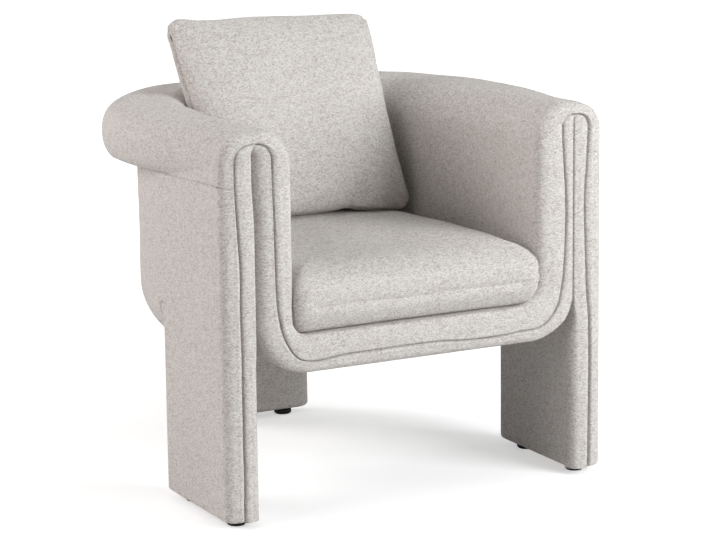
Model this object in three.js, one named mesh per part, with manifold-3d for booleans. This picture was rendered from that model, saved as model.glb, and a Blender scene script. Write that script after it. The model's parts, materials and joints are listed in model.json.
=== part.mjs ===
// A tub chair: two slab front legs, one rear slab leg, a wrapped tub with a rolled rim,
// a loose seat cushion and a loose back pillow.
// Millimetres, +Z up. The chair faces -Y, and places along Y are counted from its front face.
import * as THREE from "three";
import { mergeVertices } from "three/addons/utils/BufferGeometryUtils.js";
import Module from "manifold-3d";

const wasm = await Module();
wasm.setup();

// Fits
const gap = 0.3; // what touching pieces keep between them
const overrun = 40; // how far a cutter runs past what it cuts

// Wall of the tub, seen from above
const wallSpan = 760; // over the outside of both arms
const wallDepth = 722; // front face to the outside of the back
const wallThick = 135; // inside face to outside face, at the arms and the middle of the back
const quarterThinning = 35; // the wall is thinner by this much at its rear quarters
const thinningStartShare = 0.37; // how far round from the arm's front the thinning starts
const thinningFullShare = 0.68; // and where it is greatest
const armStraight = 210; // the arms run straight this far back
const wallRoundness = 2.07; // exponent of the curve round the back, where 2 is an ellipse

// Heights above the floor
const rimTop = 686;
const seamDrop = 96; // rim's top to the seam where its cloth meets the outside cloth
const deckTop = 331;
const tubBottom = 262;
const clothBottom = 12; // lower hem of the legs

// Cloth with its bonded wadding
const coverThick = 6;

// Rolled rim
const rollRadius = 48;
const rollOverhang = 74; // furthest that the roll stands out past the wall
const backOverhangShare = 0.56; // of the furthest, at the middle of the back
const fullOverhangShare = 0.7; // how far round from the arm's front the roll is at its widest
const rimInnerRadius = 66;

// Lower edge of the tub
const tubEdgeRadius = 105;
const frontCornerRadius = 100;
const underStrip = 175; // outside of the wall to the edge of the dust cover

// Front legs
const legThick = 64;
const legDepth = 268;
const legCornerRadius = 20;

// Rear leg
const rearLegWidth = 230;
const rearBoardClear = 3; // rear leg's board to the board of the outside wall
const rearLegCornerRadius = 30;
const rearBoardThick = 18;
const rearPaddingThick = 8;

// Leg filling
const legPaddingThick = 8;
const frontPaddingThick = 12;
const boardCornerRadius = 5;

// Frame
const liningThick = 20; // foam on the inside wall
const shellThick = 12; // bent plywood
const frameClear = 2; // under the frame, to the cloth
const armBoardThick = 25;
const armBoardBottom = 356;
const topRailHeight = 18;
const outerSetback = 12; // outside cloth's back to the rails
const seatRailThick = 25;
const seatRailTop = 312;
const frontRailThick = 27;
const cornerBlockLeg = 62;
const cornerBlockHeight = 36;
const outsideBoardThick = 4;
const postDepth = 26;
const postBottom = 300;
const postHalfShare = 0.011; // half of a back post's width, as a share of the way round
const postPlaceShare = 0.34;

// Webbing
const strapWidth = 50;
const strapThick = 1.5;
const strapBearing = 18; // length stapled on the rail
const strapSideGap = 45.3; // outermost strap to the seat rail, in front
const lengthwiseStraps = 5;
const crossStraps = 4;
const crossPitch = 108;
const firstCrossStrap = 120;

// Seat deck and dust cover
const deckThick = 15;
const dustThick = 1.2;
const dustFront = 45;

// Glides
const glideRadius = 17.5;
const glideFoot = 15;
const glideChamfer = 2.5;
const glideRim = 8;
const glideNeckRadius = 9;
const nailRadius = 1.6;
const nailLength = 16;
const frontGlideInset = 42; // front leg's front face to its front glide
const rearGlideInset = 54; // front leg's rear face to its rear glide
const rearGlideEdge = 55; // edge of the rear leg to the middle of a glide

// Leg bolts
const boltRadius = 4;
const boltHeadRadius = 9;
const boltHeadHeight = 4;
const nutRadius = 8;
const nutLength = 12;
const washerRadius = 12;
const washerThick = 2;
const boltClearance = 0.3;
const lowerBoltRise = 54; // above the lower edge of the arm board
const upperBoltDrop = 60; // under the seam
const boltDepth = 140;

// Seat cushion
const cushionThick = 118;
const cushionSeam = 47; // seam above the underside
const cushionClear = 2;
const cushionFront = 8;
const cushionCornerRadius = 62;
const cushionBow = 6; // the middle of the front edge sits back by this much
const cushionCloth = 4;
const zipHeight = 8;
const zipThick = 3;
const cushionZipShare = 0.1; // half of the zip's length, as a share of the way round

// Back pillow
const pillowReach = 12; // its corners pass the inside of the wall by this much, above the rim
const pillowHeight = 396;
const pillowThick = 144;
const pillowDraw = 16; // how far each side pulls in between its corners
const pillowBend = 22; // how far its sides come forward round the sitter
const pillowMargin = 10; // sewn edge to the filling
const pillowCloth = 4;
const pillowFullness = 0.46; // exponent of the swelling, lower is fuller at the edges
const pillowBack = 503; // its middle, from the chair's front
const pillowSettle = 5; // its lowest corner, under the crown of the seat cushion
const pillowLean = THREE.MathUtils.degToRad(25.6);
const pillowTilt = THREE.MathUtils.degToRad(2.5);
const pillowZipLength = 220;
const pillowZipWidth = 6;
const pillowZipInset = 1.5;
const pillowZipDepth = 5;
const pillowClear = 1.2; // filling to cover

// Facets
const roundSteps = 26; // round the wall
const searchSteps = 2000; // to find a place on the wall line
const halvings = 30;
const arcSteps = 5;
const rollSteps = 7;
const glideSteps = 12;
const boltSteps = 8;
const nutSides = 6;
const pillowSteps = 10;

const halfSpan = wallSpan / 2;
const seamHeight = rimTop - seamDrop;
const totalDepth = wallDepth + rollOverhang * backOverhangShare;
const tubSide = halfSpan - legThick - gap; // outside of the tub's front, between the legs
const quarter = Math.PI / 2;
const shellStart = coverThick + frontPaddingThick + 2 * gap; // frame's front

// Finishes
const finish = (color, roughness, metalness = 0) =>
  new THREE.MeshStandardMaterial({ color, roughness, metalness });
const cloth = finish(0xcfcac5, 0.95);
const foam = finish(0xe6dcae, 0.9);
const wadding = finish(0xf2f1ee, 0.95);
const plywood = finish(0xc8a470, 0.7);
const hardwood = finish(0xb5885a, 0.65);
const fibreboard = finish(0x8a6a48, 0.85);
const webbing = finish(0x3a3835, 0.85);
const lining = finish(0x1d1d1e, 0.95);
const zincSteel = finish(0xb9bcbe, 0.35, 1);
const blackPlastic = finish(0x151515, 0.45);
const zipTape = finish(0xbdb8b2, 0.7);

const chair = new THREE.Group();
chair.position.y = -totalDepth / 2;

// Closed geometry to a solid that can be cut or joined.
function solidFrom(geometry) {
  const bare = geometry.clone();
  bare.deleteAttribute("normal");
  bare.deleteAttribute("uv");
  const merged = mergeVertices(bare);
  return new wasm.Manifold(
    new wasm.Mesh({
      numProp: 3,
      vertProperties: merged.attributes.position.array,
      triVerts: new Uint32Array(merged.index.array),
    }),
  );
}

function addPiece(name, solid, material) {
  const mesh = solid.getMesh();
  const geometry = new THREE.BufferGeometry();
  geometry.setAttribute("position", new THREE.BufferAttribute(mesh.vertProperties, 3));
  geometry.setIndex(new THREE.BufferAttribute(mesh.triVerts, 1));
  geometry.computeVertexNormals();
  const piece = new THREE.Mesh(geometry, material);
  piece.name = name;
  chair.add(piece);
}

// Line along the outside of the wall, from the front of one arm round the back to the other.
class WallLine extends THREE.Curve {
  constructor() {
    super();
    this.arcLengthDivisions = 1200;
  }
  getPoint(t) {
    const straightShare = 0.2;
    const near = Math.min(t, 1 - t);
    const side = t < 0.5 ? 1 : -1;
    if (near < straightShare)
      return new THREE.Vector2(side * halfSpan, (armStraight * near) / straightShare);
    const angle = ((near - straightShare) / (0.5 - straightShare)) * quarter;
    const power = 2 / wallRoundness;
    return new THREE.Vector2(
      side * halfSpan * Math.cos(angle) ** power,
      armStraight + (wallDepth - armStraight) * Math.sin(angle) ** power,
    );
  }
}
const wallLine = new WallLine();
const wallLength = wallLine.getLength();

// Place on the line moved outwards by an offset, inwards where it is negative.
function wallPoint(share, offset) {
  const point = wallLine.getPointAt(share);
  const tangent = wallLine.getTangentAt(share);
  return new THREE.Vector2(point.x + tangent.y * offset, point.y - tangent.x * offset);
}

// Share of the line at which the arm reaches a depth.
function shareAtDepth(depth) {
  let low = 0;
  let high = 0.5;
  for (let i = 0; i < halvings; i++) {
    const middle = (low + high) / 2;
    if (wallLine.getPointAt(middle).y < depth) low = middle;
    else high = middle;
  }
  return high;
}

// The inside is squarer than the outside, so the wall thins at the rear quarters.
function thinningAt(share) {
  const round = 2 * Math.min(share, 1 - share);
  const growth = THREE.MathUtils.smoothstep(round, thinningStartShare, thinningFullShare);
  return quarterThinning * (growth - THREE.MathUtils.smoothstep(round, thinningFullShare, 1));
}

// The same place, following the inside of the wall.
const insidePoint = (share, offset) => wallPoint(share, offset + thinningAt(share));

// Shares between two places on the line, always at the same stations, so that layers nest.
function stations(from, to) {
  const between = [];
  for (let i = 1; i < roundSteps; i++) {
    const share = i / roundSteps;
    if (share > from && share < to) between.push(share);
  }
  return [from, ...between, to];
}

// Closed mesh from rings of points that follow each other, with a flat cap at each end.
function loft(rings, capIndices) {
  const count = rings[0].length;
  const positions = rings.flat().flatMap((p) => [p.x, p.y, p.z]);
  const index = [];
  for (let r = 0; r + 1 < rings.length; r++)
    for (let i = 0; i < count; i++) {
      const a = r * count + i;
      const b = r * count + ((i + 1) % count);
      index.push(a, a + count, b, b, a + count, b + count);
    }
  const last = (rings.length - 1) * count;
  for (const [a, b, c] of capIndices) {
    index.push(a, b, c);
    index.push(last + a, last + c, last + b);
  }
  const geometry = new THREE.BufferGeometry();
  geometry.setAttribute("position", new THREE.Float32BufferAttribute(positions, 3));
  geometry.setIndex(index);
  return geometry;
}

// Solid swept round the wall. outlineAt(share) gives its section as (outwards, up) points.
function sweptSolid(from, to, outlineAt) {
  const first = outlineAt(from);
  const backwards = THREE.ShapeUtils.isClockWise(first);
  const rings = stations(from, to).map((share) => {
    const ring = outlineAt(share).map((p) => {
      const place = wallPoint(share, p.x);
      return new THREE.Vector3(place.x, place.y, p.y);
    });
    return backwards ? ring.reverse() : ring;
  });
  const contour = backwards ? first.reverse() : first;
  return solidFrom(loft(rings, THREE.ShapeUtils.triangulateShape(contour, [])));
}

// Section between two offsets and two heights. It follows the inside of the wall where told to.
const band = (outer, inner, bottom, top, outerFollows = true, innerFollows = true) => (share) => {
  const left = inner + (innerFollows ? thinningAt(share) : 0);
  const right = outer + (outerFollows ? thinningAt(share) : 0);
  return [
    new THREE.Vector2(left, bottom),
    new THREE.Vector2(right, bottom),
    new THREE.Vector2(right, top),
    new THREE.Vector2(left, top),
  ];
};

function arc(centreX, centreY, radius, start, end, steps) {
  const points = [];
  for (let i = 0; i <= steps; i++) {
    const angle = start + ((end - start) * i) / steps;
    const across = radius * Math.cos(angle);
    points.push(new THREE.Vector2(centreX + across, centreY + radius * Math.sin(angle)));
  }
  return points;
}

// Shape in plan, raised between two heights.
function upright(shape, bottom, top) {
  const options = { depth: top - bottom, bevelEnabled: false, curveSegments: arcSteps };
  const geometry = new THREE.ExtrudeGeometry(shape, options);
  geometry.translate(0, 0, bottom);
  return solidFrom(geometry);
}

// Shape seen from the front, run back between two depths.
function frontToBack(shape, front, back) {
  const options = { depth: back - front, bevelEnabled: false, curveSegments: arcSteps };
  const geometry = new THREE.ExtrudeGeometry(shape, options);
  geometry.rotateX(quarter);
  geometry.translate(0, back, 0);
  return solidFrom(geometry);
}

function block(left, right, front, back, bottom, top) {
  const geometry = new THREE.BoxGeometry(right - left, back - front, top - bottom);
  geometry.translate((left + right) / 2, (front + back) / 2, (bottom + top) / 2);
  return solidFrom(geometry);
}

function roundedRectangle(left, right, front, back, radius) {
  const shape = new THREE.Shape();
  shape.absarc(right - radius, front + radius, radius, -quarter, 0);
  shape.absarc(right - radius, back - radius, radius, 0, quarter);
  shape.absarc(left + radius, back - radius, radius, quarter, 2 * quarter);
  shape.absarc(left + radius, front + radius, radius, 2 * quarter, 3 * quarter);
  return shape;
}

// Rod along X between two places.
function rodAcross(radius, from, to, depth, height, sides = boltSteps) {
  const geometry = new THREE.CylinderGeometry(radius, radius, Math.abs(to - from), sides);
  geometry.rotateZ(quarter);
  geometry.translate((from + to) / 2, depth, height);
  return solidFrom(geometry);
}

// Outward reach of the roll: none at the arm's front, most at the rear quarter.
function overhangAt(share) {
  const round = 2 * Math.min(share, 1 - share);
  const growth = THREE.MathUtils.smoothstep(round, 0, fullOverhangShare);
  const easing = THREE.MathUtils.smoothstep(round, fullOverhangShare, 1);
  return rollOverhang * growth * THREE.MathUtils.lerp(1, backOverhangShare, easing);
}

// Line over the rim: up the inside face, over the top, round the roll and back to the wall.
function rimPath(share, inset, startHeight, endHeight) {
  const rollCentre = overhangAt(share) - rollRadius;
  const radius = rollRadius - inset;
  const innerRadius = rimInnerRadius - inset;
  const cosine = THREE.MathUtils.clamp((-inset - rollCentre) / radius, 0, 1);
  const endAngle = -Math.acos(cosine);
  const face = -wallThick + thinningAt(share);
  const innerX = face + rimInnerRadius;
  return [
    new THREE.Vector2(face + inset, startHeight),
    ...arc(innerX, rimTop - rimInnerRadius, innerRadius, 2 * quarter, quarter, arcSteps),
    ...arc(rollCentre, rimTop - rollRadius, radius, quarter, endAngle, rollSteps),
    new THREE.Vector2(-inset, endHeight),
  ];
}

// Outline down the outside wall and under its rounded lower edge.
const outsidePath = (inset, stop) => [
  new THREE.Vector2(-inset, seamHeight - gap),
  ...arc(
    -tubEdgeRadius,
    tubBottom + tubEdgeRadius,
    tubEdgeRadius - inset,
    0,
    -quarter,
    arcSteps,
  ),
  new THREE.Vector2(-stop, tubBottom + inset),
];

// Depth at which a line along the wall crosses a place across the chair.
function depthAcross(pointAt, offset, across) {
  for (let i = searchSteps / 2; i > 0; i--) {
    const point = pointAt(i / searchSteps, offset);
    if (point.x >= Math.abs(across)) return point.y;
  }
  return 0;
}

// Half the width of a line inside the wall at a depth.
function halfWidthAt(offset, depth) {
  for (let i = 0; i < searchSteps / 2; i++) {
    const point = insidePoint(i / searchSteps, offset);
    if (point.y >= depth) return point.x;
  }
  return 0;
}

// The pillow's width suits the tub at the pillow's depth.
const pillowWidth = 2 * (halfWidthAt(-wallThick, pillowBack) + pillowReach);

// The rear leg's board stands in front of the curved wall.
const rearBoardHalf = rearLegWidth / 2 - coverThick - gap - frontPaddingThick;
const rearBoardBack =
  depthAcross(wallPoint, -coverThick - gap - outsideBoardThick, rearBoardHalf) - rearBoardClear;
const rearLegFront = rearBoardBack - rearBoardThick - rearPaddingThick - coverThick - gap;

// Offsets of the layers, from the outside of the wall
const insideBack = -wallThick + coverThick + gap;
const shellInner = insideBack + liningThick + gap;
const shellOuter = shellInner + shellThick;
const cavityInner = shellOuter + gap;
const cavityOuter = -coverThick - outerSetback - gap;
const armEnd = shareAtDepth(legDepth + gap);

// Inside cloth: from the deck up the wall, over the rim and round the roll in one piece.
function insideCover() {
  const bottom = deckTop + 2 * gap;
  const outline = (share) => [
    ...rimPath(share, 0, bottom, seamHeight),
    new THREE.Vector2(-2 * coverThick, seamHeight),
    new THREE.Vector2(-wallThick + thinningAt(share) + 2 * coverThick, bottom),
  ];
  const hollow = (share) => rimPath(share, coverThick, bottom - overrun, seamHeight - overrun);
  addPiece("inside_cover", sweptSolid(0, 1, outline).subtract(sweptSolid(0, 1, hollow)), cloth);
}

// Foam roll that fills the rim and sits on the top rail.
function rimFoam() {
  const bottom = seamHeight + gap + topRailHeight + gap;
  const inset = coverThick + gap;
  const outline = (share) => rimPath(share, inset, bottom, bottom);
  const front = block(-wallSpan, wallSpan, -overrun, inset, tubBottom, rimTop + overrun);
  addPiece("rim_foam", sweptSolid(0, 1, outline).subtract(front), foam);
}

// Outside cloth behind the legs, with a return that closes it against the tub's front.
function outsideCover() {
  const outline = () => [
    ...outsidePath(0, underStrip),
    ...outsidePath(coverThick, underStrip).reverse(),
  ];
  const notch = block(
    -rearLegWidth / 2 - gap,
    rearLegWidth / 2 + gap,
    rearLegFront - gap,
    wallDepth + overrun,
    tubBottom - overrun,
    tubBottom + tubEdgeRadius,
  );
  const front = legDepth + gap;
  const start = shareAtDepth(armStraight);
  let shell = sweptSolid(start, 1 - start, outline)
    .subtract(block(-wallSpan, wallSpan, -overrun, front, 0, rimTop))
    .subtract(notch);
  for (const side of [-1, 1]) {
    const shape = new THREE.Shape(returnOutline().map((p) => new THREE.Vector2(side * p.x, p.y)));
    shell = shell.add(frontToBack(shape, front, front + coverThick / 2));
  }
  addPiece("outside_cover", shell, cloth);
}

// Crescent between the outside wall and the rounded corner of the tub's front.
function returnOutline() {
  const returnArcShare = 0.8;
  const side = wallPoint(armEnd, 0).x;
  const centreX = tubSide - frontCornerRadius;
  const tip = centreX + frontCornerRadius * Math.cos(quarter * returnArcShare);
  return [
    ...outsidePath(0, side - tip).map((p) => new THREE.Vector2(side + p.x, p.y)),
    ...arc(
      centreX,
      tubBottom + frontCornerRadius,
      frontCornerRadius,
      -quarter * returnArcShare,
      0,
      arcSteps,
    ),
    new THREE.Vector2(tubSide, seamHeight - gap),
  ];
}

// What lies outside the rounded lower edge of the wall, as a cutter for the frame.
function outsideLowerEdge() {
  const inset = coverThick + gap;
  const centreZ = tubBottom + tubEdgeRadius;
  const outline = () => [
    ...arc(-tubEdgeRadius, centreZ, tubEdgeRadius - inset, 0, -quarter, arcSteps),
    new THREE.Vector2(-tubEdgeRadius, tubBottom - overrun),
    new THREE.Vector2(overrun, tubBottom - overrun),
    new THREE.Vector2(overrun, centreZ),
  ];
  return sweptSolid(0, 1, outline);
}

// Stiff board that backs the outside cloth.
function outsideBoard() {
  const outer = -coverThick - gap;
  const start = shareAtDepth(armStraight);
  const front = block(-wallSpan, wallSpan, -overrun, legDepth + gap + coverThick, 0, rimTop);
  const outline = band(
    outer,
    outer - outsideBoardThick,
    tubBottom + tubEdgeRadius,
    seamHeight - gap,
    false,
    false,
  );
  const board = sweptSolid(start, 1 - start, outline).subtract(front);
  addPiece("outside_board", board, fibreboard);
}

// U seen from the front: the tub's front between the legs.
function frontOutline(inset, innerX, innerBottom) {
  const side = tubSide - inset;
  const radius = frontCornerRadius - inset;
  const centreX = tubSide - frontCornerRadius;
  const centreZ = tubBottom + frontCornerRadius;
  const top = seamHeight - gap;
  const shape = new THREE.Shape();
  shape.moveTo(-side, top);
  shape.lineTo(-side, centreZ);
  shape.absarc(-centreX, centreZ, radius, 2 * quarter, 3 * quarter);
  shape.absarc(centreX, centreZ, radius, 3 * quarter, 4 * quarter);
  shape.lineTo(side, top);
  shape.lineTo(innerX, top);
  shape.lineTo(innerX, innerBottom);
  shape.lineTo(-innerX, innerBottom);
  shape.lineTo(-innerX, top);
  return shape;
}

// Everything inside the front's cloth, run back between two depths.
function frontSection(inset, front, back) {
  const side = tubSide - inset;
  const radius = frontCornerRadius - inset;
  const centreX = tubSide - frontCornerRadius;
  const centreZ = tubBottom + frontCornerRadius;
  const top = seamHeight + overrun;
  const shape = new THREE.Shape();
  shape.moveTo(-side, top);
  shape.lineTo(-side, centreZ);
  shape.absarc(-centreX, centreZ, radius, 2 * quarter, 3 * quarter);
  shape.absarc(centreX, centreZ, radius, 3 * quarter, 4 * quarter);
  shape.lineTo(side, top);
  return frontToBack(shape, front, back);
}

// What lies outside the front's rounded lower corners, as a cutter for the frame.
function outsideFrontCorners() {
  const top = tubBottom + frontCornerRadius;
  const back = legDepth + coverThick + 2 * gap;
  const slab = block(-halfSpan, halfSpan, -overrun, back, tubBottom - overrun, top);
  return slab.subtract(frontSection(coverThick + gap, -2 * overrun, back + overrun));
}

// Hem of the dust cover, widened or narrowed by an amount.
function dustShape(grow) {
  const shape = new THREE.Shape();
  const start = shareAtDepth(dustFront);
  const points = stations(start, 1 - start).map((share) => wallPoint(share, -underStrip + grow));
  points[0].y -= grow;
  points[points.length - 1].y -= grow;
  shape.setFromPoints(points);
  return shape;
}

function frontBorderCover() {
  const innerX = halfSpan + insideBack;
  const outline = frontOutline(0, innerX, deckTop + gap);
  const opening = upright(dustShape(gap), tubBottom - overrun, tubBottom + overrun);
  let shell = frontToBack(outline, 0, legDepth)
    .subtract(frontSection(coverThick, coverThick, legDepth + overrun))
    .subtract(opening);
  for (const side of [-1, 1]) shell = drillForBolts(shell, side);
  addPiece("front_border_cover", shell, cloth);
}

function frontPadding() {
  const inset = coverThick + gap;
  const innerX = halfSpan + shellInner - gap;
  const outline = frontOutline(inset, innerX, deckTop - deckThick - gap);
  const front = coverThick + gap;
  addPiece("front_padding", frontToBack(outline, front, front + frontPaddingThick - gap), foam);
}

// Cloth facings that close the front of each arm, under the rim.
function armFacings() {
  const bottom = seamHeight + gap;
  const outline = rimPath(0, coverThick + gap, bottom, bottom);
  for (const [name, side] of [
    ["arm_facing_left", -1],
    ["arm_facing_right", 1],
  ]) {
    const shape = new THREE.Shape();
    shape.setFromPoints(outline.map((p) => new THREE.Vector2(side * (halfSpan + p.x), p.y)));
    addPiece(name, frontToBack(shape, 0, coverThick), cloth);
  }
}

// Slab front leg: cloth sleeve, foam and a plywood board that runs up to the top rail.
const nailHoleRadius = nailRadius + gap / 2;
const glideNeckTop = clothBottom;

function legLayer(side, inset, sideInset) {
  const outer = halfSpan - inset - sideInset;
  const inner = halfSpan - legThick + inset + sideInset;
  const radius = Math.max(legCornerRadius - inset - sideInset, boardCornerRadius);
  const reach = inset + (sideInset ? frontPaddingThick : 0);
  return roundedRectangle(
    Math.min(side * inner, side * outer),
    Math.max(side * inner, side * outer),
    reach,
    legDepth - reach,
    radius,
  );
}

function ring(outerShape, innerShape, bottom, top) {
  return upright(outerShape, bottom, top).subtract(
    upright(innerShape, bottom - overrun, top + overrun),
  );
}

const boardTop = seamHeight - gap;
const boardBottom = clothBottom + gap;
const armBoardInner = halfSpan + cavityInner;
const armBoardOuter = armBoardInner + armBoardThick;
const legBoardOuter = halfSpan - coverThick - gap - legPaddingThick - gap;

const boltHeights = [armBoardBottom + lowerBoltRise, seamHeight - upperBoltDrop];

function boltHole(side, height, radius) {
  return rodAcross(radius, side * armBoardInner, side * legBoardOuter, boltDepth, height);
}

function drillForBolts(solid, side) {
  const radius = boltRadius + boltClearance;
  return boltHeights.reduce((cut, height) => cut.subtract(boltHole(side, height, radius)), solid);
}

function nailHoles(places) {
  return places.map(([x, y]) => {
    const length = nailLength + 2 * gap;
    const geometry = new THREE.CylinderGeometry(nailHoleRadius, nailHoleRadius, length, boltSteps);
    geometry.rotateX(quarter);
    geometry.translate(x, y, glideNeckTop + length / 2);
    return solidFrom(geometry);
  });
}

const frontGlides = (side) =>
  [frontGlideInset, legDepth - rearGlideInset].map((depth) => [
    side * (halfSpan - legThick / 2),
    depth,
  ]);
const rearGlideDepth = rearBoardBack - rearBoardThick / 2;
const rearGlideAcross = rearLegWidth / 2 - rearGlideEdge;
const rearGlides = [-1, 1].map((side) => [side * rearGlideAcross, rearGlideDepth]);

function frontLeg(word, side) {
  const top = seamHeight - gap;
  const outerCloth = legLayer(side, 0, 0);
  const innerCloth = legLayer(side, coverThick, 0);
  const outerPad = legLayer(side, coverThick + gap, 0);
  const innerPad = legLayer(side, coverThick + gap, legPaddingThick);
  const boardShape = legLayer(side, coverThick + 2 * gap, legPaddingThick);
  const sleeve = drillForBolts(ring(outerCloth, innerCloth, clothBottom, top), side);
  addPiece("leg_cover_" + word, sleeve, cloth);
  const pad = drillForBolts(ring(outerPad, innerPad, boardBottom, top), side);
  addPiece("leg_padding_" + word, pad, wadding);
  const seats = boltHeights.map((height) =>
    rodAcross(
      washerRadius + boltClearance,
      side * (legBoardOuter - nutLength - washerThick - 2 * gap),
      side * (legBoardOuter + overrun),
      boltDepth,
      height,
    ),
  );
  let board = drillForBolts(upright(boardShape, boardBottom, boardTop), side);
  for (const cutter of [...seats, ...nailHoles(frontGlides(side))]) board = board.subtract(cutter);
  addPiece("leg_board_" + word, board, plywood);
}

// Arm board inside the tub's front, which the leg is bolted to.
function armBoard(word, side) {
  const left = Math.min(side * armBoardInner, side * armBoardOuter);
  const right = Math.max(side * armBoardInner, side * armBoardOuter);
  const back = legDepth - coverThick;
  const heads = boltHeights.map((height) =>
    rodAcross(
      boltHeadRadius + boltClearance,
      side * (armBoardInner - overrun),
      side * (armBoardInner + boltHeadHeight + gap),
      boltDepth,
      height,
    ),
  );
  let board = drillForBolts(block(left, right, shellStart, back, armBoardBottom, boardTop), side);
  for (const cutter of heads) board = board.subtract(cutter);
  addPiece("arm_board_" + word, board, plywood);
}

function legBolts(word, side) {
  const headStart = armBoardInner + gap;
  const headEnd = headStart + boltHeadHeight - gap;
  const nutEnd = legBoardOuter - gap;
  const nutStart = nutEnd - nutLength;
  const washerStart = nutStart - washerThick;
  boltHeights.forEach((height, i) => {
    const place = (i === 0 ? "_lower_" : "_upper_") + word;
    const head = rodAcross(boltHeadRadius, side * headStart, side * headEnd, boltDepth, height);
    const shank = rodAcross(
      boltRadius,
      side * (headStart + boltHeadHeight / 2),
      side * (nutEnd - washerThick),
      boltDepth,
      height,
    );
    addPiece("leg_bolt" + place, head.add(shank), zincSteel);
    const flange = rodAcross(
      washerRadius,
      side * washerStart,
      side * (nutStart + gap),
      boltDepth,
      height,
    );
    const bore = rodAcross(
      boltRadius + boltClearance,
      side * (washerStart - overrun),
      side * (nutEnd + overrun),
      boltDepth,
      height,
    );
    const nut = rodAcross(nutRadius, side * nutStart, side * nutEnd, boltDepth, height, nutSides);
    addPiece("leg_nut" + place, nut.add(flange).subtract(bore), zincSteel);
  });
}

// Outline of the rear leg: flat in front, and following the wall behind.
function rearLegShape(inset) {
  const half = rearLegWidth / 2 - inset;
  const radius = Math.max(rearLegCornerRadius - inset, boardCornerRadius);
  const front = rearLegFront + inset;
  const backAt = (across) => depthAcross(wallPoint, 0, across) - inset;
  const back = backAt(half - radius);
  const rise = Math.min(radius, (back - front) / 2);
  const centre = half - radius;
  const shape = new THREE.Shape();
  shape.absellipse(centre, front + rise, radius, rise, -quarter, 0);
  shape.absellipse(centre, back - rise, radius, rise, 0, quarter);
  const flatShares = [0.5, 0, -0.5];
  for (const share of flatShares) shape.lineTo(half * share, backAt(half * share));
  shape.absellipse(-centre, back - rise, radius, rise, quarter, 2 * quarter);
  shape.absellipse(-centre, front + rise, radius, rise, 2 * quarter, 3 * quarter);
  return shape;
}

function rearLeg() {
  const top = tubBottom + tubEdgeRadius - gap;
  const padInset = coverThick + gap;
  const boardFront = rearBoardBack - rearBoardThick;
  addPiece(
    "rear_leg_cover",
    ring(rearLegShape(0), rearLegShape(coverThick), clothBottom, top),
    cloth,
  );
  const core = block(
    -rearBoardHalf - gap,
    rearBoardHalf + gap,
    boardFront - gap,
    rearBoardBack + gap,
    boardBottom - overrun,
    boardTop + overrun,
  );
  const pad = upright(rearLegShape(padInset), boardBottom, top).subtract(core);
  addPiece("rear_leg_padding", pad, wadding);
  let board = block(-rearBoardHalf, rearBoardHalf, boardFront, rearBoardBack, boardBottom, boardTop);
  for (const cutter of nailHoles(rearGlides)) board = board.subtract(cutter);
  addPiece("rear_leg_board", board, plywood);
}

// Round the frame: foam lining, bent shell, rails and posts.
function tubFrame() {
  const front = shareAtDepth(coverThick + gap);
  const start = shareAtDepth(shellStart);
  const railTop = boardTop + gap + topRailHeight;
  const liningBand = band(
    insideBack + liningThick,
    insideBack,
    deckTop + 2 * gap,
    railTop,
  );
  addPiece("inside_lining", sweptSolid(front, 1 - front, liningBand), foam);
  const underside = tubBottom + coverThick + frameClear;
  const shellBand = band(shellOuter, shellInner, underside, railTop);
  const corners = outsideFrontCorners().add(outsideLowerEdge());
  addPiece("back_shell", sweptSolid(start, 1 - start, shellBand).subtract(corners), plywood);
  const railBand = band(cavityOuter, cavityInner, boardTop + gap, railTop, false);
  addPiece("top_rail", sweptSolid(start, 1 - start, railBand), plywood);
  const seatBand = band(
    shellInner - gap,
    shellInner - gap - seatRailThick,
    underside,
    seatRailTop,
  );
  addPiece("seat_rail", sweptSolid(start, 1 - start, seatBand).subtract(corners), hardwood);
  for (const [word, middle] of [
    ["left", 1 - postPlaceShare],
    ["right", postPlaceShare],
  ]) {
    const postBand = band(cavityInner + postDepth, cavityInner, postBottom, boardTop);
    const post = sweptSolid(middle - postHalfShare, middle + postHalfShare, postBand);
    addPiece("back_post_" + word, post, hardwood);
  }
}

const seatInner = shellInner - gap - seatRailThick;
const frontRailBack = shellStart + frontRailThick;

function frontRail() {
  const half = halfSpan + seatInner - gap;
  const bottom = tubBottom + coverThick + frameClear;
  const rail = block(-half, half, shellStart, frontRailBack, bottom, seatRailTop);
  addPiece("front_rail", rail.subtract(outsideFrontCorners()), hardwood);
  for (const [word, side] of [
    ["left", -1],
    ["right", 1],
  ]) {
    const corner = new THREE.Vector2(side * half, frontRailBack + gap);
    const shape = new THREE.Shape([
      corner,
      new THREE.Vector2(corner.x - side * cornerBlockLeg, corner.y),
      new THREE.Vector2(corner.x, corner.y + cornerBlockLeg),
    ]);
    const blockTop = seatRailTop - gap;
    const wedge = upright(shape, blockTop - cornerBlockHeight, blockTop);
    addPiece("corner_block_" + word, wedge, hardwood);
  }
}

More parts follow.
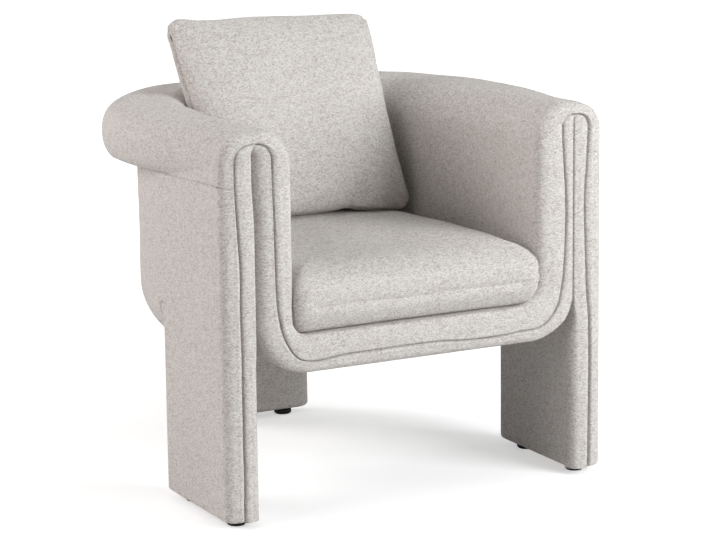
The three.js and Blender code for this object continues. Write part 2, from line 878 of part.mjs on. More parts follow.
// Elastic webbing stapled on top of the rails.
function webbingStraps() {
  const bottom = seatRailTop + gap;
  const reach = halfSpan + seatInner - strapSideGap;
  const strapPitch = (2 * reach - strapWidth) / (lengthwiseStraps - 1);
  for (let i = 0; i < lengthwiseStraps; i++) {
    const across = (i - (lengthwiseStraps - 1) / 2) * strapPitch;
    const edge = Math.abs(across) + strapWidth / 2;
    const back = depthAcross(insidePoint, seatInner, edge) + strapBearing;
    const strap = block(
      across - strapWidth / 2,
      across + strapWidth / 2,
      frontRailBack - strapBearing,
      back,
      bottom,
      bottom + strapThick,
    );
    addPiece("seat_strap_" + (i + 1), strap, webbing);
  }
  const crossBottom = bottom + strapThick + gap;
  for (let i = 0; i < crossStraps; i++) {
    const front = firstCrossStrap + i * crossPitch;
    const half = halfWidthAt(seatInner, front + strapWidth) + strapBearing;
    const strap = block(
      -half,
      half,
      front,
      front + strapWidth,
      crossBottom,
      crossBottom + strapThick,
    );
    addPiece("cross_strap_" + (i + 1), strap, webbing);
  }
}

// Foam pad under the cushion, and the black cloth that closes the underside.
function seatDeck() {
  const edge = shellInner - gap;
  const start = shareAtDepth(coverThick + gap);
  const shape = new THREE.Shape();
  shape.setFromPoints(stations(start, 1 - start).map((share) => insidePoint(share, edge)));
  addPiece("seat_deck", upright(shape, deckTop - deckThick, deckTop), foam);
  addPiece("dust_cover", upright(dustShape(0), tubBottom, tubBottom + dustThick), lining);
}

function glide(name, [x, y]) {
  const profile = [
    [0, 0],
    [glideFoot, 0],
    [glideRadius, glideChamfer],
    [glideRadius, glideRim],
    [glideNeckRadius, glideRim],
    [glideNeckRadius, glideNeckTop],
    [nailRadius, glideNeckTop],
    [nailRadius, glideNeckTop + nailLength],
    [0, glideNeckTop + nailLength],
  ].map(([radius, height]) => new THREE.Vector2(radius, height));
  const geometry = new THREE.LatheGeometry(profile, glideSteps);
  geometry.rotateX(quarter);
  geometry.translate(x, y, 0);
  addPiece(name, solidFrom(geometry), blackPlastic);
}

// Outline of the seat cushion in plan, drawn in by an amount all round.
function cushionOutline(inset) {
  const edge = -wallThick - cushionClear - inset;
  const radius = cushionCornerRadius - inset;
  const front = cushionFront + inset;
  const cornerX = halfSpan + edge - radius;
  const cornerY = front + radius;
  const start = shareAtDepth(cornerY);
  const round = stations(start, 1 - start).map((share) => insidePoint(share, edge));
  const leftCorner = arc(-cornerX, cornerY, radius, 2 * quarter, 3 * quarter, arcSteps).slice(1);
  const rightCorner = arc(cornerX, cornerY, radius, 3 * quarter, 4 * quarter, arcSteps);
  rightCorner.pop();
  return [...round, ...leftCorner, new THREE.Vector2(0, front + cushionBow), ...rightCorner];
}

// Crowned cushion with a sewn waist: each row is [way to the middle, share of the height].
function cushionSolid(inset) {
  const outline = cushionOutline(inset);
  const middle = new THREE.Vector2(0, (cushionFront + wallDepth - wallThick) / 2);
  const bottom = deckTop + gap + inset;
  const height = cushionThick - 2 * inset;
  const seamShare = cushionSeam / cushionThick;
  const rowShares = [
    [0.16, 0],
    [0.05, 0.07],
    [0.005, 0.22],
    [0.014, seamShare],
    [0, 0.62],
    [0.016, 0.8],
    [0.05, 0.91],
    [0.13, 0.968],
    [0.4, 1],
  ];
  const rings = rowShares.map(([way, up]) =>
    outline.map((p) => {
      const point = p.clone().lerp(middle, way);
      return new THREE.Vector3(point.x, point.y, bottom + height * up);
    }),
  );
  return solidFrom(loft(rings.reverse(), THREE.ShapeUtils.triangulateShape(outline, [])));
}

// Zip tape in the rear boxing, or the slot that it lies in, which reaches the filling.
function zipBand(slot) {
  const face = -wallThick - cushionClear - cushionCloth;
  const middle = deckTop + gap + cushionSeam;
  const half = zipHeight / 2;
  if (!slot) return band(face, face - zipThick, middle - half, middle + half);
  const reach = face - zipThick - cushionCloth;
  return band(face + overrun, reach, middle - half - gap, middle + half + gap);
}

function seatCushion() {
  const from = 0.5 - cushionZipShare;
  const spare = shareAtDepth(gap);
  const slot = sweptSolid(from - spare, 1 - from + spare, zipBand(true));
  const cover = cushionSolid(0).subtract(cushionSolid(cushionCloth)).subtract(slot);
  addPiece("seat_cushion_cover", cover, cloth);
  addPiece("seat_cushion_core", cushionSolid(cushionCloth + gap).subtract(slot), foam);
  addPiece("seat_cushion_zip", sweptSolid(from, 1 - from, zipBand(false)), zipTape);
}

// Pillow standing in its own frame: width along X, height along Z, its face towards -Y.
function pillowGeometry(margin, wall) {
  const half = pillowWidth / 2 - margin;
  const tall = pillowHeight / 2 - margin;
  const swell = pillowThick / 2 - wall;
  const point = (i, j, face) => {
    const u = (2 * i) / pillowSteps - 1;
    const v = (2 * j) / pillowSteps - 1;
    const full = ((1 - u * u) * (1 - v * v)) ** pillowFullness;
    const x = u * (half - pillowDraw * (1 - v * v));
    const forward = pillowBend * u * u * (1 - v * v);
    return new THREE.Vector3(x, face * swell * full - forward, v * (tall - pillowDraw * (1 - u * u)));
  };
  const positions = [];
  const addTriangle = (...corners) => {
    for (const p of corners) positions.push(p.x, p.y, p.z);
  };
  for (let i = 0; i < pillowSteps; i++)
    for (let j = 0; j < pillowSteps; j++)
      for (const face of [-1, 1]) {
        const corners = [
          point(i, j, face),
          point(i + 1, j, face),
          point(i + 1, j + 1, face),
          point(i, j + 1, face),
        ];
        const rising = i < pillowSteps / 2 === j < pillowSteps / 2;
        if (!rising) corners.push(corners.shift());
        if (face > 0) [corners[1], corners[3]] = [corners[3], corners[1]];
        addTriangle(corners[0], corners[1], corners[2]);
        addTriangle(corners[0], corners[2], corners[3]);
      }
  const geometry = new THREE.BufferGeometry();
  geometry.setAttribute("position", new THREE.Float32BufferAttribute(positions, 3));
  return geometry;
}

// It leans back and tilts, and its lowest corner rests on the cushion.
function leaned(geometry) {
  const cornerDrop =
    (pillowHeight / 2) * Math.cos(pillowTilt) + (pillowWidth / 2) * Math.sin(pillowTilt);
  const cushionTop = deckTop + gap + cushionThick;
  geometry.rotateY(pillowTilt);
  geometry.rotateX(-pillowLean);
  geometry.translate(0, pillowBack, cushionTop - pillowSettle + cornerDrop * Math.cos(pillowLean));
  return solidFrom(geometry);
}

function pillowZipBox(grow) {
  const bottom = -pillowHeight / 2 + pillowDraw;
  const low = grow ? bottom - overrun : bottom + pillowZipInset;
  const high = bottom + (grow ? pillowMargin + pillowZipDepth : pillowZipDepth);
  const geometry = new THREE.BoxGeometry(
    pillowZipLength + 2 * grow,
    pillowZipWidth + 2 * grow,
    high - low,
  );
  geometry.translate(0, 0, (high + low) / 2);
  return leaned(geometry);
}

function backPillow() {
  const slot = pillowZipBox(gap);
  const inside = leaned(pillowGeometry(pillowMargin, pillowCloth));
  const cover = leaned(pillowGeometry(0, 0)).subtract(inside).subtract(slot);
  addPiece("pillow_cover", cover, cloth);
  const loose = leaned(pillowGeometry(pillowMargin + pillowClear, pillowCloth + pillowClear));
  const filling = loose.subtract(slot);
  addPiece("pillow_insert", filling, wadding);
  addPiece("pillow_zip", pillowZipBox(0), zipTape);
}

insideCover();
rimFoam();
outsideCover();
outsideBoard();
frontBorderCover();
frontPadding();
armFacings();
for (const [word, side] of [
  ["left", -1],
  ["right", 1],
]) {
  frontLeg(word, side);
  armBoard(word, side);
  legBolts(word, side);
  frontGlides(side).forEach((place, i) => {
    glide("glide_" + (i === 0 ? "front_" : "rear_") + word, place);
  });
}
rearLeg();
rearGlides.forEach((place, i) => glide("glide_back_" + (i === 0 ? "left" : "right"), place));
tubFrame();
frontRail();
webbingStraps();
seatDeck();
seatCushion();
backPillow();

export default chair;
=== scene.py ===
"""Looks of a tub chair in nubby light grey cloth, for the frame that the part was packed into.

Sizes are in millimetres. Depths along Y are counted from the chair's front face, until Sheet.make
moves them into the frame. A side is 1 for the arm on the right, seen from the front, and -1 for
the one on the left. The two differ by some millimetres, as hand-pulled cloth does."""

import json
import math

import bmesh
import bpy
import numpy as np
from mathutils import Matrix, Vector


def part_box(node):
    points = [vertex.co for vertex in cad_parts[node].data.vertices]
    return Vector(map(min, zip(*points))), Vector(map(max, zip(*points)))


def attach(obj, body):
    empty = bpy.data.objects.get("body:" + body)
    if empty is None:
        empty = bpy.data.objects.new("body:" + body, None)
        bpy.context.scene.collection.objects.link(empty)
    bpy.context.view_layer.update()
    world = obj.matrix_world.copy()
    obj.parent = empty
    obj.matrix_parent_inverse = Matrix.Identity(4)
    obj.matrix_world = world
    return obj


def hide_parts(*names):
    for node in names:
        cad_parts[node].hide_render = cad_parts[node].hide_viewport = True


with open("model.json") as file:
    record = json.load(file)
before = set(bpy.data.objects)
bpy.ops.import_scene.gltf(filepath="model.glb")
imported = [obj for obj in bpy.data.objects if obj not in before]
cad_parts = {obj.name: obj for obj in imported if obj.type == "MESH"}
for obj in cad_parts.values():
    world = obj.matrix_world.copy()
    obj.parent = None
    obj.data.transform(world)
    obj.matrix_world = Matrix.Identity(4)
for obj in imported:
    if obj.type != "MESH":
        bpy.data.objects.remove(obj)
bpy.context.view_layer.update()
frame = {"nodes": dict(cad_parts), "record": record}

MM = 0.001

# The chair's cloth, which stands proud of the part's covers by a few millimetres
HALF = 382.5  # half of the span over the arms
DEPTH = 722.0  # front face to the outside of the back
TOTAL = 763.44  # front face to the furthest of the roll behind
THICK = 137.5  # the wall, at the arms and in the middle of the back
THINNING = 35.0  # the wall is thinner by this much at its rear quarters
STRAIGHT = 210.0  # the arms run straight this far back
ROUNDNESS = 2.07  # exponent of the curve round the back, where 2 is an ellipse
RIM_TOP = 691.0, 685.0  # at the arms and behind, as in the next two lines
ROLL_RADIUS = 47.0, 56.0
RIM_INNER_RADIUS = 62.0, 66.0
OVERHANG = 72.5  # furthest that the roll stands out past the wall
DECK = 331.2  # top of the seat deck
BOTTOM = 262.0  # underside of the tub
HEM = 12.0  # lower edge of the legs' cloth
EDGE_RADIUS = 98.0  # curve from the wall to the underside
CORNER_RADIUS = 100.0  # left lower corner of the tub's front
CORNER_RADIUS_RIGHT = 85.0
FILLET = 50.0  # right corner between deck and arm, as the cushion lies in the photo
FILLET_LEFT = 24.0
LEG_INNER = 316.3  # middle of the chair to a front leg
LEG_DEPTH = 270.0
LEG_RADIUS = 20.0
TUB_SIDE = 315.7  # middle of the chair to the tub's side, beside a front leg
REAR_LEG_FRONT = 661.0
REAR_LEG_HALF = 115.0
REAR_LEG_RADIUS = 30.0

# Seam on the front: up the leg, in an arch over the arm and down round the seat
SEAM_CORNER_TOP = 349.0  # where it leaves the arm and turns under the cushion
SEAM_CORNER_END = 225.0  # middle of the chair to where that corner ends
SEAM_LOW = 289.0  # height in the middle of the seat
ARCH_FOOT = 640.0
ARCH_TOP = 673.5
ARCH_POWER = 0.74  # makes the arch a little square, where 1 is round
SEAM_DIP = 7.5  # how far the cloth is pulled in
SEAM_DIP_SIDE = 3.4  # the same at the seam under the roll
SEAM_DIP_REACH = 1.8  # it fades over this distance
GROOVE_DEPTH = 25.0  # groove between leg and tub
SEAM_LEVEL_FRONT = 603.0  # seam under the roll, at an arm's front
SEAM_LEVEL_LEG = 596.0  # and behind a front leg


# ---------------------------------------------------------------- numbers


def smooth(x, low=0.0, high=1.0):
    """0 below the low value and 1 above the high one, with a soft step between them."""
    t = np.clip((np.asarray(x, float) - low) / (high - low), 0, 1)
    return t * t * (3 - 2 * t)


def mix(a, b, t):
    """From a to b as t goes from 0 to 1."""
    return a + (b - a) * t


def hill(x, middle, width, power=2):
    """1 at the middle, and less on both sides over the width. A high power gives a flat top."""
    return np.exp(-(np.abs((x - middle) / width) ** power))


def waver(x, seed, length):
    """Gentle unevenness along a line, about -1 to 1, with bumps of the given length."""
    rng = np.random.default_rng(seed)
    x = np.asarray(x, float)
    total = np.zeros_like(x)
    for _ in range(6):
        f = 2 * math.pi / (length * rng.uniform(0.7, 2.2))
        total += np.sin(x * f + rng.uniform(0, 2 * math.pi)) / 6
    return total * 1.8


def unevenness(p, seed, length):
    """The same over a surface, from places of shape (..., 3)."""
    rng = np.random.default_rng(seed)
    total = np.zeros(p.shape[:-1])
    for _ in range(9):
        d = rng.normal(size=3)
        d /= np.linalg.norm(d)
        f = 2 * math.pi / (length * rng.uniform(0.7, 2.0))
        total += np.sin(p @ d * f + rng.uniform(0, 2 * math.pi)) / 9
    return total * 2.2


def run_of(path):
    """Distance along a path to each of its places."""
    return np.r_[0, np.cumsum(np.linalg.norm(np.diff(path, axis=0), axis=1))]


def resample(path, count):
    """Even spacing along a path of places."""
    run = run_of(path)
    at = np.linspace(0, run[-1], count)
    return np.stack([np.interp(at, run, path[:, k]) for k in range(path.shape[1])], -1)


def soften(p, passes):
    """Rounds creases along a path, leaving its ends."""
    for _ in range(passes):
        q = p.copy()
        q[1:-1] = (p[:-2] + 2 * p[1:-1] + p[2:]) / 4
        p = q
    return p


def curve(table, at):
    """Smooth curve through a table's places, which are evened out over a tenth of its length."""
    t = np.array(table, float)
    fine = np.linspace(t[0, 0], t[-1, 0], 400)
    return np.interp(at, fine, soften(np.interp(fine, t[:, 0], t[:, 1]), 160))


def arc(cx, cz, radius, start, end, count):
    """Part of a circle, between two angles in degrees."""
    t = np.radians(np.linspace(start, end, count))
    return np.stack([cx + radius * np.cos(t), cz + radius * np.sin(t)], -1)


def powered(x, power):
    """A power that keeps the sign. Below 1, it makes a circle's cosine and sine squarer."""
    return np.sign(x) * np.abs(x) ** power


def both_sides(right, left):
    """One path from the right half's places, which end in the middle, and the left half's."""
    return np.vstack([right, (left * [-1, 1])[::-1][1:]])


# ---------------------------------------------------------------- wall line


def wall_line():
    """Plan of the wall's outside, from the right arm's front to the left one's, and its run."""
    near = np.linspace(0, 1, 400)[:-1]
    angle = np.linspace(0, math.pi / 2, 6000)
    power = 2 / ROUNDNESS
    x = HALF * np.cos(angle) ** power
    y = STRAIGHT + (DEPTH - STRAIGHT) * np.sin(angle) ** power
    half = np.vstack([np.c_[np.full_like(near, HALF), STRAIGHT * near], np.c_[x, y]])
    half[-1, 0] = 0
    both = both_sides(half, half)
    return both, run_of(both)


LINE, RUN = wall_line()
LENGTH = RUN[-1]


def line_at(run):
    """Places at a run along the wall line."""
    return np.stack([np.interp(run, RUN, LINE[:, 0]), np.interp(run, RUN, LINE[:, 1])], -1)


def wall(run, offset):
    """The same, moved outwards by an offset."""
    run, offset = np.broadcast_arrays(np.asarray(run, float), np.asarray(offset, float))
    reach = 4.0  # the direction is taken between places this far before and after
    ahead, behind = np.clip(run + reach, 0, LENGTH), np.clip(run - reach, 0, LENGTH)
    tangent = line_at(ahead) - line_at(behind)
    tangent /= np.linalg.norm(tangent, axis=-1, keepdims=True)
    normal = np.stack([tangent[..., 1], -tangent[..., 0]], -1)
    return line_at(run) + normal * offset[..., None]


def around(run):
    """0 at an arm's front, 1 in the middle of the back."""
    return 2 * np.minimum(run, LENGTH - run) / LENGTH


def thinning(run):
    """How much thinner the wall is: most at the rear quarters."""
    r = around(run)
    return THINNING * (smooth(r, 0.37, 0.68) - smooth(r, 0.68, 1.0))


def overhang(run):
    """How far the roll stands out past the wall."""
    r = around(run)
    return OVERHANG * smooth(r, 0, 0.7) * mix(1, 0.56, smooth(r, 0.7, 1))


# ---------------------------------------------------------------- meshes


def add_object(name, data):
    """A new object in the scene."""
    obj = bpy.data.objects.new(name, data)
    bpy.context.scene.collection.objects.link(obj)
    return obj


class Sheet:
    """Grids of places that share one mesh. Their touching edges are joined."""

    def __init__(self):
        self.points, self.faces, self.count = [], [], 0

    def grid(self, p, closed=False, flip=False):
        """Adds rows of places. A closed grid joins its last column to its first."""
        rows, cols = p.shape[:2]
        r = np.arange(rows - 1)[:, None]
        c = np.arange(cols if closed else cols - 1)[None, :]
        a = self.count + r * cols + c
        b = self.count + r * cols + (c + 1) % cols
        quads = np.stack([a, b, b + cols, a + cols], -1).reshape(-1, 4)
        self.faces.append(quads[:, ::-1] if flip else quads)
        self.points.append(p.reshape(-1, 3))
        self.count += rows * cols

    def fan(self, ring, centre):
        """Fills a ring of places from its centre."""
        n = len(ring)
        self.points.append(np.vstack([ring, centre]))
        i = np.arange(n)
        tris = np.stack([self.count + i, self.count + (i + 1) % n, np.full(n, self.count + n)], -1)
        self.faces.append(tris)
        self.count += n + 1

    def make(self, name, merge=0.02):
        """The object. Places that are closer than the merge distance become one."""
        points = np.vstack(self.points) * MM
        points[:, 1] -= TOTAL / 2 * MM
        faces = [f.tolist() for block in self.faces for f in block]
        mesh = bpy.data.meshes.new(name)
        mesh.from_pydata(points.tolist(), [], faces)
        bm = bmesh.new()
        bm.from_mesh(mesh)
        bmesh.ops.remove_doubles(bm, verts=bm.verts, dist=merge * MM)
        bm.to_mesh(mesh)
        bm.free()
        mesh.validate()
        mesh.polygons.foreach_set("use_smooth", np.ones(len(mesh.polygons), bool))
        return add_object(name, mesh)


# ---------------------------------------------------------------- rim and inside cloth


def seam_level(run):
    """Height of the seam under the roll, which comes down towards the back."""
    r = around(run)
    return mix(SEAM_LEVEL_FRONT, SEAM_LEVEL_LEG, smooth(r, 0, 0.2)) - 10 * smooth(r, 0.25, 0.7)


# Rows of the section over the rim: from the seam under the roll, round the roll, over the top,
# round the inside, down the face and round the foot at the deck
ROWS_OUT, ROWS_ROLL, ROWS_TOP, ROWS_IN, ROWS_FACE, ROWS_FILLET = 24, 52, 26, 40, 140, 30
COLS = ROWS_OUT + ROWS_ROLL + ROWS_TOP + ROWS_IN + ROWS_FACE + ROWS_FILLET - 5
FACE_START = COLS - ROWS_FACE - ROWS_FILLET + 2


def side_dip(away):
    """How far the cloth turns in, at a distance from the seam under the roll."""
    return SEAM_DIP_SIDE * np.exp(-away / SEAM_DIP_REACH)


def rim_profile(run, fillet):
    """Section over the rim at one place, as (outwards, up): from the seam to the seat deck."""
    h = float(overhang(run))
    grown = float(smooth(around(run), 0, 0.7))
    # The roll is a squashed circle: round in front, squarer and larger behind.
    radius = mix(*ROLL_RADIUS, grown)
    top = mix(*RIM_TOP, grown)
    cx, cz = h - radius, top - radius
    power = 2 / mix(2.0, 2.5, grown)
    # It starts where it leaves the wall, or further round where it stands free of it.
    start = math.acos(np.clip((radius - h) / radius, 0, 1) ** (1 / power))
    free = float(smooth(h / radius, 1.0, 1.25))
    level = float(seam_level(run))
    reach = (cz - mix(level + 1, cz - radius, free)) / radius
    start = -min(start, math.asin(np.clip(reach, 0, 1) ** (1 / power)))
    t = np.linspace(start, math.pi / 2, ROWS_ROLL)
    across, up = powered(np.cos(t), power), powered(np.sin(t), power)
    low = np.stack([cx + radius * across, cz + radius * up], -1)
    # From the seam to the roll the cloth runs in one bend.
    seam = np.array([0, level])
    t = np.linspace(0, 1, ROWS_OUT)[:, None] ** 1.5
    bend = mix((seam + low[0]) / 2, np.array([3.0, low[0, 1] + 1]), free)
    out = (1 - t) ** 2 * seam + 2 * t * (1 - t) * bend + t**2 * low[0]
    out[:, 0] -= side_dip(np.linalg.norm(out - seam, axis=1))
    face = -THICK + float(thinning(run))
    ri = mix(*RIM_INNER_RADIUS, grown)
    inner = arc(face + ri, top - ri, ri, 90, 180, ROWS_IN)
    line = low[-1] + (inner[0] - low[-1]) * np.linspace(0, 1, ROWS_TOP)[:, None]
    down = np.linspace(top - ri, DECK + fillet, ROWS_FACE)
    wall_face = np.stack([np.full_like(down, face), down], -1)
    foot = arc(face - fillet, DECK + fillet, fillet, 0, -90, ROWS_FILLET)
    p = np.vstack([out, low[1:], line[1:], inner[1:], wall_face[1:], foot[1:]])
    # Padding lifts the top of the arms a little.
    crown = mix(6.0, 1.0, grown)
    window = np.clip(1 - ((p[:, 0] + 90) / 62) ** 2, 0, 1) ** 2
    p[:, 1] += np.where(p[:, 1] > 600, crown * window, 0)
    return p


# Seams up the front, as heights and distances from the middle of the chair
LEG_SEAM_RIGHT = [
    (0, 352), (200, 354), (300, 353), (345, 348), (425, 345),
    (480, 343), (525, 342), (582, 347), (640, 350),
]
TUB_SEAM_RIGHT = [
    (300, 272), (324, 284), (340, 290.5), (376, 297.5), (419, 301),
    (493, 303.5), (538, 302.5), (593, 298.5), (640, 295.5),
]
TUB_SEAM_LEFT = [
    (300, 250), (327, 266.5), (345, 272.5), (364, 276.5),
    (390, 280), (420, 281.8), (560, 284), (640, 286),
]


def leg_seam(z, side):
    """Distance from the middle of the chair of the seam up a leg's front."""
    if side > 0:
        return curve(LEG_SEAM_RIGHT, z)
    return 349 + 8 * smooth(z, 430, 640) + 0.9 * waver(z, 60, 150)


def tub_seam(z, side):
    """The same for the seam down the inside of an arm's front."""
    return curve(TUB_SEAM_RIGHT if side > 0 else TUB_SEAM_LEFT, z)


def seam_bottom(x):
    """Height of the seam under the seat."""
    low = 5.5 * hill(x, -205, 38) + 5 * smooth(x, 20, 120) - 3 * smooth(x, 170, 215)
    return SEAM_LOW - low + 0.9 * waver(x, 71, 170)


def seam_corner(side, count):
    """The seam round the corner below an arm, from its side to its bottom."""
    start = float(tub_seam(SEAM_CORNER_TOP, side)), SEAM_CORNER_TOP
    end = SEAM_CORNER_END, float(seam_bottom(side * SEAM_CORNER_END))
    if side > 0:
        middle = [(290, 336), (283.5, 322), (275, 309), (265, 299), (252, 291), (238, 286.5)]
    else:
        middle = [(271, 340), (266, 327), (257, 310), (249, 299), (240, 291), (232, 286.8)]
    path = resample(np.array([start, *middle, end]), 200)
    return resample(soften(path, 120), count)


def groove_place(z, side):
    """Distance from the middle of the chair of the groove between leg and tub."""
    outward = 2.6 * smooth(z, 262, 300) if side > 0 else 3.7 * smooth(z, 520, 620)
    return LEG_INNER - 0.2 + outward


def groove_depth(z, side):
    """Depth of that groove, which is nearly shut up the right arm."""
    deep = mix(GROOVE_DEPTH, 7.0, smooth(z, 300, 340)) if side > 0 else GROOVE_DEPTH
    return mix(deep, 5.0, smooth(z, 652, 670))


def arch(side):
    """Middle and radius of the seam's arch over an arm's front."""
    outer, inner = float(leg_seam(ARCH_FOOT, side)), float(tub_seam(ARCH_FOOT, side))
    radius = (outer - inner) / 2
    return (outer + inner) / 2, ARCH_TOP - radius, radius


def arch_place(cx, cz, radius, angle):
    """Place on that arch at an angle."""
    across, up = powered(math.cos(angle), ARCH_POWER), powered(math.sin(angle), ARCH_POWER)
    return cx + radius * across, cz + radius * up


def seam_for(contour, side):
    """Place of the front seam that faces each place of an arm's contour."""
    cx, cz, radius = arch(side)
    out = np.empty_like(contour)
    for i in range(FACE_START):
        x, z = contour[i]
        angle = math.atan2(z - cz, x - cx)
        if x > cx and z <= cz:
            out[i] = (leg_seam(z, side) if z < ARCH_FOOT else cx + radius), z
        elif x < cx and z < cz:
            out[i] = cx - radius, z + (cz - z) * 0.5
        else:
            out[i] = arch_place(cx, cz, radius, angle)
    high = out[FACE_START - 1, 1]
    low = SEAM_CORNER_TOP
    z = np.linspace(high, low, ROWS_FACE)
    x = np.where(z > ARCH_FOOT, cx - radius, tub_seam(z, side))
    out[FACE_START - 1 : FACE_START - 1 + ROWS_FACE] = np.stack([x, z], -1)
    out[FACE_START - 1 + ROWS_FACE :] = seam_corner(side, ROWS_FILLET)[1:]
    out[: FACE_START + ROWS_FACE] = soften(out[: FACE_START + ROWS_FACE], 6)
    return out


def dip(left):
    """How far the cloth turns back into a seam, at a distance from it."""
    return SEAM_DIP * hill(np.maximum(left, 0), 0, 1.45, 1.15)


def seam_share(seam):
    """Part of the seam's depth that is left: it fades at the top of each arch."""
    x, high = seam[:, 0], smooth(seam[:, 1], 652, 668)
    left = smooth(-x, 314, 322)
    right = smooth(x, 250, 260) * (1 - smooth(x, 312, 324))
    return 1 - 0.7 * high * (left + right)


ROUND_SHARE = 0.72  # largest part of a turned edge's width that its round takes
BULGE = 1.5  # how far the padding swells between that round and the seam
GATHER = 0.7  # height of the small pulls beside a seam


def swell(t):
    """Depth of the padding's swelling, from the round at 0 to the seam at 1."""
    return -BULGE * math.sin(math.pi * min(1.0, t * 1.1)) ** 2


def bullnose(contour, seam, limit):
    """Rows from the contour, where the cloth runs back, round to the front and into the seam.

    The limit is the largest radius of the round, for each place of the contour."""
    width = np.linalg.norm(seam - contour, axis=1)
    radius = np.minimum(limit, ROUND_SHARE * width)
    unit = (seam - contour) / width[:, None]
    rows = []
    for a in np.linspace(0, math.pi / 2, 10):
        inset = radius * (1 - math.cos(a))
        depth = radius * (1 - math.sin(a))
        rows.append(np.c_[contour + unit * inset[:, None], depth])
    for t in 1 - (1 - np.linspace(0, 1, 14)[1:]) ** 1.8:
        inset = radius + (width - radius) * t
        depth = swell(t) + dip(width - inset) * seam_share(seam)
        rows.append(np.c_[contour + unit * inset[:, None], depth])
    return np.stack(rows)[..., [0, 2, 1]]


def gathers(p, along, distance, seed):
    """Small pulls of the cloth square to a seam, which fade with the distance from it."""
    ripple = waver(along, seed, 5.5) * 0.8 + waver(along, seed + 1, 14.0) * 0.6
    p[..., 1] += GATHER * ripple * hill(distance, 4.5, 7)
    return p


def arm_contour(side):
    """Outline of an arm's front, from the seam on its outside to the deck."""
    p = rim_profile(0.0, FILLET if side > 0 else FILLET_LEFT)
    return np.c_[HALF + p[:, 0], p[:, 1]]


def inside_cloth():
    """Cloth over the rim and down the inside, with its turned edge round the front."""
    sheet = Sheet()
    n = 170  # places across the deck
    round_limit, deck_limit = 20.0, 7.0
    contours = {side: arm_contour(side) for side in (1, -1)}
    seams = {side: seam_for(contours[side], side) for side in (1, -1)}
    deck_x = np.linspace(contours[1][-1, 0], -contours[-1][-1, 0], n)
    deck = np.c_[deck_x, np.full(n, DECK)]
    seam_x = np.linspace(seams[1][-1, 0], -seams[-1][-1, 0], n)
    low = seam_bottom(seam_x)
    whole = np.vstack([contours[1], deck[1:-1], (contours[-1] * [-1, 1])[::-1]])
    whole_seam = np.vstack([seams[1], np.c_[seam_x, low][1:-1], (seams[-1] * [-1, 1])[::-1]])
    limit = np.full(len(whole), round_limit)
    limit[COLS - ROWS_FILLET : COLS] = np.linspace(round_limit, deck_limit, ROWS_FILLET)
    limit[COLS : COLS + n - 2] = deck_limit
    left_foot = slice(COLS + n - 2, COLS + n - 2 + ROWS_FILLET)
    limit[left_foot] = np.linspace(deck_limit, round_limit, ROWS_FILLET)
    lip = bullnose(whole, whole_seam, limit)
    along = run_of(whole_seam)
    width = np.linalg.norm(whole_seam - lip[..., [0, 2]], axis=-1)
    lip = gathers(lip, along[None, :], width, 11)
    sheet.grid(lip, flip=True)
    first = lip[0]

    # Sweep round the wall, between the two arms' fronts. Behind the front, the hidden corner
    # under the cushion gets tighter.
    ahead = [30, 42, 56, 72, 90]
    runs = np.r_[ahead, np.linspace(108, LENGTH - 108, 118), LENGTH - np.array(ahead[::-1])]
    rows = [first[:COLS]]
    for run in runs:
        back = float(smooth(min(run, LENGTH - run), 30, 90))
        corner = FILLET if run < LENGTH / 2 else FILLET_LEFT
        profile = soften(rim_profile(run, mix(corner, 24, back)), 3)
        rows.append(np.c_[wall(np.full(COLS, run), profile[:, 0]), profile[:, 1]])
    rows.append(first[::-1][:COLS])
    body = np.stack(rows)
    shape = unevenness(body, 5, 150) * smooth(body[..., 2], 560, 650)
    body[1:-1, :, 2] += (1.2 * shape)[1:-1]
    sheet.grid(body)

    # Lip of the deck in front of the cushion.
    front = first[COLS - 1 : COLS - 1 + n]
    back = [front]
    for y in ahead:
        row = front.copy()
        row[:, 1] = y
        back.append(row)
    sheet.grid(np.stack(back))
    return sheet.make("inside_cloth")


# ---------------------------------------------------------------- front border


def border_half(side):
    """Seam, groove edge and groove depth along one half of the front, from the foot up."""
    cx, cz, radius = arch(side)
    seam, edge, depth = [], [], []
    shut = float(groove_depth(400, side))
    under_depth = 18.0  # where the border turns under the tub
    for z in np.arange(HEM, ARCH_FOOT, 2.0):
        seam.append((float(leg_seam(z, side)), z))
        edge.append((float(groove_place(z, side)), z))
        depth.append(float(groove_depth(z, side)))
    for a in np.radians(np.linspace(0, 180, 60)):
        x, z = arch_place(cx, cz, radius, a)
        seam.append((x, max(z, ARCH_FOOT) if math.sin(a) < 0.3 else z))
        z = ARCH_FOOT + (ARCH_TOP - 5 - ARCH_FOOT) * math.sin(a)
        edge.append((float(groove_place(z, side)), z))
        depth.append(float(groove_depth(z, side)))
    low = SEAM_CORNER_TOP
    corner = CORNER_RADIUS if side < 0 else CORNER_RADIUS_RIGHT
    for z in np.arange(ARCH_FOOT - 2, low, -2.0):
        seam.append((float(tub_seam(z, side)), z))
        t = (z - low) / (ARCH_FOOT - low)
        level = mix(BOTTOM + corner, ARCH_FOOT, t)
        place = float(groove_place(level, side)) - 0.4 * float(smooth(ARCH_FOOT - level, 0, 20))
        edge.append((place, level))
        depth.append(float(groove_depth(max(level, 400), side)))
    outer = edge[-1][0]
    seam += [tuple(p) for p in seam_corner(side, 60)]
    for a in np.radians(np.linspace(0, -90, 60)):
        edge.append((outer - corner * (1 - math.cos(a)), BOTTOM + corner * (1 + math.sin(a))))
        depth.append(mix(shut, under_depth, float(smooth(-a, 0, 1.4))))
    for t in np.linspace(0, 1, 110)[1:]:
        x = mix(SEAM_CORNER_END, 0, t)
        seam.append((x, float(seam_bottom(side * x))))
        edge.append((mix(outer - corner, 0, t), BOTTOM))
        depth.append(under_depth)
    return np.array(seam), np.array(edge), np.array(depth)


